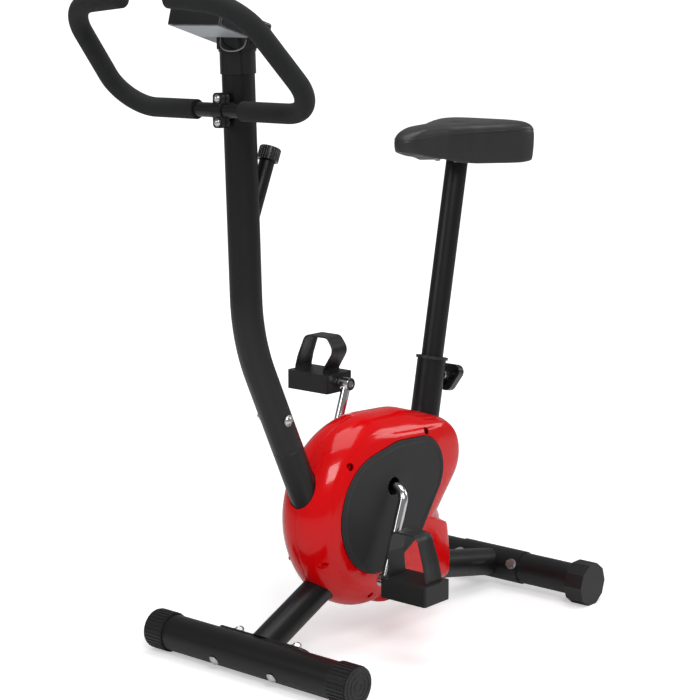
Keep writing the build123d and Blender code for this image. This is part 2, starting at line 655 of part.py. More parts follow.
with BuildPart() as seat_knob:
    ring(Plane(origin=KNOB_HEIGHT + KNOB_BACK * PIN_TIP, z_dir=KNOB_BACK), 6.0, 34)
    wing_plane = Plane(origin=KNOB_HEIGHT + KNOB_BACK * KNOB_WING_START, x_dir=(0, 1, 0), z_dir=KNOB_BACK)
    with BuildSketch(wing_plane) as wings:
        with PolarLocations(14.5, 3, start_angle=90):
            Circle(13)
        make_hull()
    extrude(wings.sketch, amount=16)
    fillet(seat_knob.edges().group_by(Axis(KNOB_HEIGHT, KNOB_BACK))[-1], 3)
    with BuildSketch(wing_plane) as wing_hollow:
        with PolarLocations(14.5, 3, start_angle=90):
            Circle(10)
        make_hull()
    extrude(wing_hollow.sketch, amount=11, mode=Mode.SUBTRACT)
    ring(Plane(origin=KNOB_HEIGHT + KNOB_BACK * 44, z_dir=KNOB_BACK), 9, 20)
save(seat_knob, "seat_knob")

POST_HOLE_PITCH, POST_HOLES = 25.0, 10
SEAT_POST_END = SEAT_TOP + UP_SEAT * SEAT_POST_TOP_DISTANCE

with BuildPart() as seat_post:
    bottom = SEAT_TOP - UP_SEAT * SEAT_POST_INSERTED
    ring(
        Plane(origin=bottom, z_dir=UP_SEAT),
        SEAT_POST_R,
        SEAT_POST_INSERTED + SEAT_POST_TOP_DISTANCE,
        SEAT_POST_R - 2,
    )
    for step in range(POST_HOLES):
        hole = KNOB_HEIGHT + UP_SEAT * POST_HOLE_PITCH * (step - 2)
        ring(Plane(origin=hole + KNOB_BACK * 10, z_dir=KNOB_BACK), 6.4, 20, mode=Mode.SUBTRACT)
    with BuildSketch(Plane.XY.offset(SEAT_UNDERSIDE_Z - 4.05)) as top_plate:
        with Locations((SEAT_POST_END.X, 0)):
            RectangleRounded(90, 60, 10)
        with Locations((SEAT_POST_END.X - 33, 0), (SEAT_POST_END.X + 33, 20), (SEAT_POST_END.X + 33, -20)):
            Circle(4.2, mode=Mode.SUBTRACT)
    extrude(top_plate.sketch, amount=4)
    with BuildSketch(Plane.XY.offset(SEAT_UNDERSIDE_Z - 0.05)) as above_plate:
        with Locations((SEAT_POST_END.X, 0)):
            Rectangle(200, 200)
    extrude(above_plate.sketch, amount=60, mode=Mode.SUBTRACT)
save(seat_post, "seat_post")

with BuildPart() as seat_bolts:
    for bolt_x, bolt_y in ((-33, 0), (33, 20), (33, -20)):
        x = SEAT_POST_END.X + bolt_x
        ring(Plane(origin=(x, bolt_y, SEAT_UNDERSIDE_Z - 15), z_dir=(0, 0, 1)), 4.0, 23)
        hexagon(Plane(origin=(x, bolt_y, SEAT_UNDERSIDE_Z - 12.1), z_dir=(0, 0, 1)), 13, 6.5)
        ring(Plane(origin=(x, bolt_y, SEAT_UNDERSIDE_Z - 5.6), z_dir=(0, 0, 1)), 8.5, 1.5)
save(seat_bolts, "seat_bolts")

SEAT_PAN_CIRCLES = ((-205, 0, 10), (-332, 36, 36), (-332, -36, 36))
SEAT_PAD_CIRCLES = ((-152, 0, 26), (-349, 44, 56), (-349, -44, 56))
PAN_THICKNESS = 10.0

with BuildPart() as seat_pan:
    with BuildSketch(Plane.XY.offset(SEAT_UNDERSIDE_Z)) as pan_outline:
        hull_of(SEAT_PAN_CIRCLES)
    extrude(pan_outline.sketch, amount=PAN_THICKNESS)
    for bolt_x, bolt_y in ((-33, 0), (33, 20), (33, -20)):
        bolt_seat = Plane(origin=(SEAT_POST_END.X + bolt_x, bolt_y, SEAT_UNDERSIDE_Z), z_dir=(0, 0, 1))
        ring(bolt_seat, 4.2, PAN_THICKNESS, mode=Mode.SUBTRACT)
save(seat_pan, "seat_pan")

with BuildPart() as seat_pad:
    with BuildSketch(Plane.XY.offset(SEAT_SKIRT_Z)) as pad_outline:
        hull_of(SEAT_PAD_CIRCLES)
    extrude(pad_outline.sketch, amount=SEAT_TOP_Z - SEAT_SKIRT_Z)
    fillet(seat_pad.edges().group_by(Axis.Z)[-1], 18)
    with BuildSketch(Plane.XY.offset(SEAT_SKIRT_Z)) as pan_pocket:
        hull_of([(x, y, radius + 4) for x, y, radius in SEAT_PAN_CIRCLES])
    extrude(pan_pocket.sketch, amount=SEAT_UNDERSIDE_Z + PAN_THICKNESS + 0.05 - SEAT_SKIRT_Z, mode=Mode.SUBTRACT)
save(seat_pad, "seat_pad")


# ---- covers -------------------------------------------------------------------------------------

CROWN_BODY = ((-33.0, 222.0, 164.0), (-196.0, 298.0, 66.0))
SHOULDER_BODY = ((-27.0, 226.0, 135.0), (-182.0, 297.0, 62.0))
CROWN_TAIL = ((-220, 72, 20), (-220, 100, 20), (-190, 155, 20), (-120, 150, 20), (-75, 72, 20))
SHOULDER_TAIL = ((-207, 82, 10), (-207, 104, 10), (-186, 155, 10), (-120, 150, 10), (-75, 82, 10))
PLATE_CIRCLES = ((-16.0, 228.0, 102.0), (-121.0, 277.0, 62.0), (-106.0, 187.0, 23.0))
SHOULDER_Y, SEAT_Y = 50.0, 59.0
SCREW_POINTS = ((104, 160), (58, 318), (-140, 344), (-8, 84))
SEAM_GAP = 0.1


def facing(sign, y):
    """A plane parallel to the seam, on one side of it."""
    return Plane(origin=(0, sign * y, 0), x_dir=(1, 0, 0), z_dir=(0, -1, 0))


def shell_half(sign, crown, shoulder, inset):
    """Loft from an outline at the seam to an outline at the shoulder."""
    with BuildSketch(facing(sign, SEAM_GAP)) as inner:
        hull_of([(x, z, radius - inset) for x, z, radius in crown])
    with BuildSketch(facing(sign, SHOULDER_Y - inset)) as outer:
        hull_of([(x, z, radius - inset) for x, z, radius in shoulder])
    loft([inner.sketch, outer.sketch], ruled=True)


def plate_slab(sign, grow, low_y, high_y, mode=Mode.ADD):
    """A slab with the side plate's outline, between two distances from the seam."""
    with BuildSketch(facing(sign, low_y)) as outline:
        hull_of([(x, z, radius + grow) for x, z, radius in PLATE_CIRCLES])
    extrude(outline.sketch, amount=-sign * (high_y - low_y), mode=mode)


for sign in (-1, 1):
    with BuildPart() as cover_core:
        shell_half(sign, CROWN_BODY, SHOULDER_BODY, COVER_WALL)
        shell_half(sign, CROWN_TAIL, SHOULDER_TAIL, COVER_WALL)
    with BuildPart() as cover:
        shell_half(sign, CROWN_BODY, SHOULDER_BODY, 0)
        shell_half(sign, CROWN_TAIL, SHOULDER_TAIL, 0)
        plate_slab(sign, 3, SHOULDER_Y - 4, SEAT_Y)
        add(cover_core.part, mode=Mode.SUBTRACT)
        plate_slab(sign, -6, 10, PLATE_OUTER_Y, mode=Mode.SUBTRACT)
        tube(bottom_line.line, FRAME_TUBE_R + 0.6, mode=Mode.SUBTRACT)
        ring(Plane(origin=POST_LOW - UP_STUB * 280, z_dir=UP_STUB), FRAME_TUBE_R + 0.6, 380, mode=Mode.SUBTRACT)
        ring(Plane(origin=SEAT_TOP - UP_SEAT * 350, z_dir=UP_SEAT), FRAME_TUBE_R + 0.6, 350, mode=Mode.SUBTRACT)
        for screw_x, screw_z in SCREW_POINTS:
            ring(across(screw_x, -80, screw_z), 5.0, 160, mode=Mode.SUBTRACT)
    save(cover, f"cover_{side(sign)}")

    with BuildPart() as side_plate:
        plate_slab(sign, 0, SEAT_Y + 0.05, PLATE_OUTER_Y)
        ring(across(CRANK[0], -80, CRANK[1]), 15, 160, mode=Mode.SUBTRACT)
    save(side_plate, f"side_plate_{side(sign)}")

with BuildPart() as cover_screws:
    for screw_x, screw_z in SCREW_POINTS:
        ring(across(screw_x, -30, screw_z), 1.9, 60)
        for low_y in (-34.5, 30.0):
            ring(across(screw_x, low_y, screw_z), 4.9, 4.5)
save(cover_screws, "cover_screws")


# ---- crank, pulleys and flywheel ----------------------------------------------------------------

ARM_LENGTH = (ARM_FORWARD ** 2 + ARM_DROP ** 2) ** 0.5
LEFT_EYE = Vector(CRANK[0] + ARM_FORWARD, ARM_PLANE_Y, CRANK[1] - ARM_DROP)
RIGHT_EYE = Vector(CRANK[0] - ARM_FORWARD, -ARM_PLANE_Y, CRANK[1] + ARM_DROP)
CRANK_BEND_R = 23.0
SPINDLE_R = 6.0

with BuildLine() as crank_line:
    FilletPolyline(
        LEFT_EYE,
        (CRANK[0], ARM_PLANE_Y, CRANK[1]),
        (CRANK[0], -ARM_PLANE_Y, CRANK[1]),
        RIGHT_EYE,
        radius=CRANK_BEND_R,
    )

with BuildPart() as crank:
    tube(crank_line.line, CRANK_BAR_R)
    for eye in (LEFT_EYE, RIGHT_EYE):
        ring(across(eye.X, eye.Y - 9.5, eye.Z), 11, 19)
    for eye in (LEFT_EYE, RIGHT_EYE):
        ring(across(eye.X, eye.Y - 10, eye.Z), SPINDLE_R + 0.02, 20, mode=Mode.SUBTRACT)
save(crank, "crank")

with BuildPart() as crank_cones:
    for low_y in (-SHELL_HALF - 6, SHELL_HALF - 3.0):
        ring(across(CRANK[0], low_y, CRANK[1]), CONE_R, 9, CRANK_BAR_R + 0.02)
save(crank_cones, "crank_cones")

PULLEY_LOW = SHELL_HALF + 6.1


def pulley(centre, radius, low_y, width, bore, web_bore):
    """A flanged belt pulley on an axis along Y, with a thin web between rim and hub."""
    ring(across(centre[0], low_y, centre[1]), radius, width, bore)
    for flange_y in (low_y, low_y + width - 1.2):
        ring(across(centre[0], flange_y, centre[1]), radius + 2.5, 1.2, bore)
    if web_bore:
        for web_y in (low_y, low_y + width / 2 + 2):
            ring(across(centre[0], web_y, centre[1]), radius - 7, width / 2 - 2, web_bore, mode=Mode.SUBTRACT)


with BuildPart() as crank_pulley:
    pulley(CRANK, DRIVE_PULLEY_R, PULLEY_LOW, 12, CRANK_BAR_R + 0.02, 20)
    with BuildSketch(across(CRANK[0], PULLEY_LOW, CRANK[1])) as lightening:
        with PolarLocations(42, 6):
            Circle(13)
    extrude(lightening.sketch, amount=14, mode=Mode.SUBTRACT)
save(crank_pulley, "crank_pulley")

with BuildPart() as flywheel_pulley:
    pulley(FLYWHEEL, DRIVEN_PULLEY_R, PULLEY_LOW, 12, SPINDLE_R + 0.02, 0)
save(flywheel_pulley, "flywheel_pulley")

FLYWHEEL_LOW, FLYWHEEL_WIDTH = -45.0, 15.0

with BuildPart() as flywheel_shaft:
    ring(across(FLYWHEEL[0], FLYWHEEL_LOW - 4, FLYWHEEL[1]), SPINDLE_R, 4 - FLYWHEEL_LOW + PULLEY_LOW + 13)
save(flywheel_shaft, "flywheel_shaft")

with BuildPart() as flywheel:
    ring(across(FLYWHEEL[0], FLYWHEEL_LOW, FLYWHEEL[1]), FLYWHEEL_R, FLYWHEEL_WIDTH, SPINDLE_R + 0.02)
    for web_y in (FLYWHEEL_LOW, FLYWHEEL_LOW + FLYWHEEL_WIDTH - 4):
        ring(across(FLYWHEEL[0], web_y, FLYWHEEL[1]), FLYWHEEL_R - 14, 4, 18, mode=Mode.SUBTRACT)
save(flywheel, "flywheel")


def belt_loop(extra):
    """The outline of the drive belt's inside face, grown outwards."""
    hull_of([
        (CRANK[0], CRANK[1], DRIVE_PULLEY_R + extra),
        (FLYWHEEL[0], FLYWHEEL[1], DRIVEN_PULLEY_R + extra),
    ])


with BuildPart() as drive_belt:
    belt_plane = Plane(origin=(0, PULLEY_LOW + 1.6, 0), x_dir=(1, 0, 0), z_dir=(0, -1, 0))
    with BuildSketch(belt_plane) as belt_outer:
        belt_loop(GAP + 1.8)
    extrude(belt_outer.sketch, amount=-8.8)
    with BuildSketch(belt_plane) as belt_inner:
        belt_loop(GAP)
    extrude(belt_inner.sketch, amount=-8.8, mode=Mode.SUBTRACT)
save(drive_belt, "drive_belt")

BAND_GAP, BAND_WALL = 0.4, 1.6
BAND_LOW, BAND_WIDTH = FLYWHEEL_LOW + 2, 11.0
BAND_MIDDLE_Y = BAND_LOW + BAND_WIDTH / 2
BAND_R = FLYWHEEL_R + BAND_GAP + BAND_WALL
ANCHOR_ANGLE, PULL_ANGLE = 20.0, 75.0


def on_band(angle, radius):
    """A point on a circle about the flywheel's axis, as x and z."""
    return (FLYWHEEL[0] + radius * cos(radians(angle)), FLYWHEEL[1] + radius * sin(radians(angle)))


with BuildPart() as brake_band:
    ring(across(FLYWHEEL[0], BAND_LOW, FLYWHEEL[1]), BAND_R, BAND_WIDTH, BAND_R - BAND_WALL)
    with BuildSketch(Plane.XZ) as opening:
        with BuildLine():
            Polyline(FLYWHEEL, on_band(ANCHOR_ANGLE, 120), on_band(PULL_ANGLE, 120), close=True)
        make_face()
    extrude(opening.sketch, amount=60, mode=Mode.SUBTRACT)
    for angle in (ANCHOR_ANGLE - 2, PULL_ANGLE + 2):
        x, z = on_band(angle, BAND_R + 2.5)
        with BuildSketch(Plane(origin=(x, BAND_LOW, z), x_dir=(cos(radians(angle)), 0, sin(radians(angle))),
                               z_dir=(0, 1, 0))) as lug:
            Rectangle(8, 3)
        extrude(lug.sketch, amount=BAND_WIDTH)
save(brake_band, "brake_band")

SPRING_START = Vector(64.0, BAND_MIDDLE_Y, 232.5)
PULL_X, PULL_Z = on_band(PULL_ANGLE, BAND_R + 3.5)
SPRING_END = Vector(PULL_X + 2.6, BAND_MIDDLE_Y, PULL_Z)
SPRING_R, SPRING_WIRE_R, SPRING_TURNS = 4.2, 0.8, 8

with BuildPart() as brake_spring:
    pull = SPRING_END - SPRING_START
    coil_length = pull.length - 12
    coil_plane = Plane(origin=SPRING_START + pull.normalized() * 6, z_dir=pull)
    with BuildLine(coil_plane) as coil:
        Helix(coil_length / SPRING_TURNS, coil_length, SPRING_R)
    tube(coil.line, SPRING_WIRE_R)
    for end in (SPRING_START + pull.normalized() * 1.5, SPRING_END - pull.normalized() * 7):
        ring(Plane(origin=end, z_dir=pull), SPRING_R + 0.8, 5.5)
save(brake_spring, "brake_spring")


# ---- pedals -------------------------------------------------------------------------------------

PEDAL_LENGTH_X, PEDAL_WIDTH_Y, PEDAL_HEIGHT = 66.0, 92.0, 33.0
PEDAL_INNER_Y = 102.0
STRAP_WALL = 3.0
# Each strap's rise, and its inner side: the base's Y, then the height and the Y of its waist and its top's Y.
STRAP_SHAPES = {
    "left": (76.0, 111.0, 0.55, 107.0, 114.0),
    "right": (62.0, 122.0, 0.65, 100.0, 116.0),
}

with BuildPart() as pedal_spindles:
    for eye in (LEFT_EYE, RIGHT_EYE):
        outward = 1 if eye.Y > 0 else -1
        low_y = eye.Y - 9 if outward > 0 else eye.Y + 9 - 105
        ring(across(eye.X, low_y, eye.Z), SPINDLE_R, 105)
        collar_y = eye.Y + 9.6 if outward > 0 else eye.Y - 9.6 - 5
        hexagon(across(eye.X, collar_y, eye.Z), 15, 5)
save(pedal_spindles, "pedal_spindles")

for eye in (LEFT_EYE, RIGHT_EYE):
    outward = 1 if eye.Y > 0 else -1
    name = side(outward)
    middle_y = outward * (PEDAL_INNER_Y + PEDAL_WIDTH_Y / 2)
    with BuildPart() as pedal:
        with BuildSketch(Plane(origin=(eye.X, middle_y, eye.Z - PEDAL_HEIGHT / 2), z_dir=(0, 0, 1))) as body:
            RectangleRounded(PEDAL_LENGTH_X, PEDAL_WIDTH_Y, 4)
        extrude(body.sketch, amount=PEDAL_HEIGHT)
        with BuildSketch(Plane(origin=(eye.X, middle_y, eye.Z - PEDAL_HEIGHT / 2), z_dir=(0, 0, 1))) as pockets:
            with GridLocations(44, 0, 2, 1):
                RectangleRounded(14, PEDAL_WIDTH_Y - 16, 3)
        extrude(pockets.sketch, amount=PEDAL_HEIGHT - 4, mode=Mode.SUBTRACT)
        bore_y = PEDAL_INNER_Y - 1 if outward > 0 else 7 - PEDAL_INNER_Y - PEDAL_WIDTH_Y
        ring(across(eye.X, bore_y, eye.Z), SPINDLE_R + FIT, PEDAL_WIDTH_Y - 6, mode=Mode.SUBTRACT)
    save(pedal, f"pedal_{name}")

    rise, base_y, waist, waist_y, top_y = STRAP_SHAPES[name]
    outer_y = PEDAL_INNER_Y + PEDAL_WIDTH_Y - 9
    top_z = eye.Z + PEDAL_HEIGHT / 2
    with BuildPart() as strap:
        with BuildSketch(Plane(origin=(eye.X - 20, 0, 0), x_dir=(0, 1, 0), z_dir=(1, 0, 0))) as band:
            with BuildLine() as band_line:
                FilletPolyline(
                    (outward * base_y, top_z + 0.05),
                    (outward * base_y, top_z + 6),
                    (outward * waist_y, top_z + rise * waist),
                    (outward * top_y, top_z + rise),
                    (outward * (outer_y - 20), top_z + rise),
                    (outward * (outer_y - 5), top_z + rise * 0.4),
                    (outward * outer_y, top_z + 6),
                    (outward * outer_y, top_z + 0.05),
                    radius=(10, 16, 12, 14, 30, 10),
                )
            trace(band_line.line, STRAP_WALL)
        extrude(band.sketch, amount=40)
    save(strap, f"strap_{name}")


# ---- brake cable --------------------------------------------------------------------------------

CABLE_R = 2.2

with BuildLine() as cable_line:
    FilletPolyline(
        KNOB_BASE - KNOB_UP * 20,
        (234.5, 0, 716),
        (241.3, 0, 560),
        (186.0, 0, 406),
        (118.0, -2.0, 291.0),
        (92.0, -30.0, 231.0),
        SPRING_START,
        radius=(120, 150, 200, 60, 14),
    )

with BuildPart() as tension_cable:
    tube(cable_line.line, CABLE_R)
save(tension_cable, "tension_cable")

# ---- speed sensor -------------------------------------------------------------------------------

with BuildPart() as speed_sensor:
    with BuildSketch(Plane.XY.offset(CRANK[1] + SHELL_R - 1)) as sensor_body:
        with Locations((CRANK[0] - 4, 20)):
            Rectangle(10, 16)
    extrude(sensor_body.sketch, amount=12)
    ring(across(CRANK[0], -SHELL_HALF, CRANK[1]), SHELL_R + 0.02, 2 * SHELL_HALF, mode=Mode.SUBTRACT)
save(speed_sensor, "speed_sensor")
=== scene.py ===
"""Looks of an upright exercise bike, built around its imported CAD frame. Lengths are in metres."""

import json
import logging
import math
from dataclasses import dataclass, field
from enum import Enum

import bmesh
import bpy
from mathutils import Matrix, Vector

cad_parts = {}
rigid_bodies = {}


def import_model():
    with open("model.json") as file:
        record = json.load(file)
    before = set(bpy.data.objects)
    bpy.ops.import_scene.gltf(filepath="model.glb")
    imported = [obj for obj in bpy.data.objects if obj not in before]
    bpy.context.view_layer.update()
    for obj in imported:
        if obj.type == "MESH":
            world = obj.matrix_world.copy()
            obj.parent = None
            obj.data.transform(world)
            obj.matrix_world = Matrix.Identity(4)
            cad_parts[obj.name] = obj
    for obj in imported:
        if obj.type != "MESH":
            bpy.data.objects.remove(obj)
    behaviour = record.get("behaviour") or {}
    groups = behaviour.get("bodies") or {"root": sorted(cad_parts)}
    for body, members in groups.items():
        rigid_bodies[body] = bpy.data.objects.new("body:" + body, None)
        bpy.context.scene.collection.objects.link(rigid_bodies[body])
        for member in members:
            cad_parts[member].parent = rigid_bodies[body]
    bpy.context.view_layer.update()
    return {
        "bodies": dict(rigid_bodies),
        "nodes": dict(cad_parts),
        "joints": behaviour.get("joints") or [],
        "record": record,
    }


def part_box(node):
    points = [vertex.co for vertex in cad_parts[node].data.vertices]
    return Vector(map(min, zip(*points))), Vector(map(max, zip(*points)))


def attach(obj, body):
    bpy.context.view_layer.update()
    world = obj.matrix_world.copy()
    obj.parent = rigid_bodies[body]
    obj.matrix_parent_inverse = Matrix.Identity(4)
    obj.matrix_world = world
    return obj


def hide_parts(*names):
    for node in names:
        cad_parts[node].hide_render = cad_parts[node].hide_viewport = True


LOG = logging.getLogger("bike")
MM = 0.001
Socket, Tree, Thing = bpy.types.NodeSocket, bpy.types.NodeTree, bpy.types.Object
Color = tuple[float, float, float]

# Where the frame's parts stand, as x and z in millimetres, and the lean of the seat tube in degrees.
FRONT_FOOT, REAR_FOOT = (233.0, 33.0), (-425.0, 39.0)
TUBE_APEX, APEX_BEND = (30.3, 127.5), 0.2
POST_FOOT, POST_JOINT, POST_ABOVE = (33.0, 117.0), (151.2, 360.0), (190.0, 440.0)
SEAT_FOOT, SEAT_TOP, SEAT_LEAN = (-157.0, 92.0), (-227.0, 449.0), 11.0
CRANK, ARM_AHEAD, ARM_DROP, ARM_Y = (-47.0, 267.0), 53.0, 146.0, 86.0
CAP_FACE_Y, KNOB_DOWN = 216.4, 26.0


# ---- small helpers ------------------------------------------------------------------------------


def mm(*values: float) -> Vector:
    """Turn millimetres into a vector in metres."""
    return Vector(values) * MM


def lerp(low: float, high: float, share: float) -> float:
    """Mix two numbers by a share from 0 to 1."""
    return low + (high - low) * share


def smooth_max(first: float, second: float, width: float) -> float:
    """The larger of two numbers, rounded off where they are within a width of each other."""
    reach = max(width - abs(first - second), 0.0) / width
    return max(first, second) + reach * reach * width * 0.25


def new_object(name: str, mesh: bpy.types.Mesh) -> Thing:
    """Link a new object with a mesh to the scene."""
    obj = bpy.data.objects.new(name, mesh)
    bpy.context.scene.collection.objects.link(obj)
    return obj


def shade(mesh: bpy.types.Mesh, angle: float = 35.0) -> None:
    """Shade a mesh smooth, with sharp edges above an angle in degrees."""
    mesh.polygons.foreach_set("use_smooth", [True] * len(mesh.polygons))
    mesh.set_sharp_from_angle(angle=math.radians(angle))


def mesh_of(name: str, verts: list[Vector], faces: list[tuple[int, ...]], angle: float = 35.0) -> Thing:
    """Make an object from vertices and faces, with its normals turned outwards."""
    mesh = bpy.data.meshes.new(name)
    mesh.from_pydata([tuple(v) for v in verts], [], faces)
    work = bmesh.new()
    work.from_mesh(mesh)
    bmesh.ops.recalc_face_normals(work, faces=work.faces)
    work.to_mesh(mesh)
    work.free()
    shade(mesh, angle)
    return new_object(name, mesh)


def skin(rows: list[list[Vector]], closed_rows: bool, closed_ends: bool, caps: bool) -> tuple[list, list]:
    """Join rows of points into quads.

    Args:
        rows: rows with the same number of points each.
        closed_rows: True if each row is a loop.
        closed_ends: True if the last row joins the first.
        caps: True to close the first and last rows with a face each.

    Returns:
        The vertices and the faces.
    """
    count = len(rows[0])
    verts = [point for row in rows for point in row]
    faces = []
    for j in range(len(rows) if closed_ends else len(rows) - 1):
        above = (j + 1) % len(rows)
        for i in range(count if closed_rows else count - 1):
            beside = (i + 1) % count
            faces.append((j * count + i, j * count + beside, above * count + beside, above * count + i))
    if caps:
        faces.append(tuple(range(count)))
        faces.append(tuple((len(rows) - 1) * count + i for i in range(count)))
    return verts, faces


def tube_mesh(name: str, path: list[Vector], radius: float, sides: int = 32) -> Thing:
    """Make a closed tube round a path, carrying its section along without twist."""
    rows = []
    lift = (path[1] - path[0]).orthogonal().normalized()
    for index, point in enumerate(path):
        ahead = path[min(index + 1, len(path) - 1)]
        behind = path[max(index - 1, 0)]
        along = (ahead - behind).normalized()
        lift = (lift - along * lift.dot(along)).normalized()
        across = lift.cross(along)
        rows.append([
            point + (across * math.cos(turn) + lift * math.sin(turn)) * radius
            for turn in (2 * math.pi * k / sides for k in range(sides))
        ])
    return mesh_of(name, *skin(rows, True, False, True))


def rounded_path(corners: list[Vector], radii: list[float], steps: int = 12) -> list[Vector]:
    """Round the corners of a line of points with arcs of the given radii."""
    path = [corners[0]]
    for before, corner, after, radius in zip(corners, corners[1:], corners[2:], radii):
        entry, leave = (before - corner).normalized(), (after - corner).normalized()
        half = entry.angle(leave) / 2
        if half > math.radians(89.5):
            path.append(corner)
            continue
        room = min((before - corner).length, (after - corner).length) * 0.49
        reach = min(radius / math.tan(half), room)
        arc_r = reach * math.tan(half)
        middle = corner + (entry + leave).normalized() * (arc_r / math.sin(half))
        start, end = corner + entry * reach - middle, corner + leave * reach - middle
        spread = start.angle(end)
        for step in range(steps + 1):
            share = step / steps
            mixed = start * math.sin((1 - share) * spread) + end * math.sin(share * spread)
            path.append(middle + mixed / math.sin(spread))
    path.append(corners[-1])
    return path


def even_path(path: list[Vector], step: float) -> list[Vector]:
    """Space the points of a path evenly."""
    lengths = [0.0]
    for a, b in zip(path, path[1:]):
        lengths.append(lengths[-1] + (b - a).length)
    count = max(2, round(lengths[-1] / step))
    out, k = [], 0
    for i in range(count + 1):
        want = lengths[-1] * i / count
        while k < len(path) - 2 and lengths[k + 1] < want:
            k += 1
        span = max(lengths[k + 1] - lengths[k], 1e-9)
        out.append(path[k].lerp(path[k + 1], (want - lengths[k]) / span))
    return out


def settle(obj: Thing) -> None:
    """Apply every modifier of an object to its mesh."""
    bpy.context.view_layer.update()
    graph = bpy.context.evaluated_depsgraph_get()
    mesh = bpy.data.meshes.new_from_object(obj.evaluated_get(graph))
    obj.modifiers.clear()
    obj.data = mesh


def cut(obj: Thing, cutters: list[Thing]) -> None:
    """Cut shapes out of an object one by one and delete them, with a second way if the first one fails."""
    for cutter in cutters:
        whole = obj.data.copy()
        for solver in ("EXACT", "FAST"):
            modifier = obj.modifiers.new("cut", "BOOLEAN")
            modifier.operation = "DIFFERENCE"
            modifier.solver = solver
            modifier.object = cutter
            settle(obj)
            if len(obj.data.polygons) > len(whole.polygons) * 0.6:
                break
            LOG.info("%s cut %s again", obj.name, solver)
            obj.data = whole.copy()
        bpy.data.objects.remove(cutter)


def bevel(obj: Thing, width: float, segments: int = 2, angle: float = 40.0) -> None:
    """Round an object's sharp edges with a modifier."""
    modifier = obj.modifiers.new("edge", "BEVEL")
    modifier.width = width
    modifier.segments = segments
    modifier.limit_method = "ANGLE"
    modifier.angle_limit = math.radians(angle)
    modifier.harden_normals = False


# ---- shader groups ------------------------------------------------------------------------------


class Group(Enum):
    """The effects that several finishes share."""

    GRAIN = "fine grain"
    WEAR = "edge wear"
    DUST = "settled dust"
    CLOUD = "soft clouding"


def fill(node: bpy.types.Node, values: dict[str, object]) -> None:
    """Set inputs of a node by their names."""
    for key, value in values.items():
        node.inputs[key].default_value = value


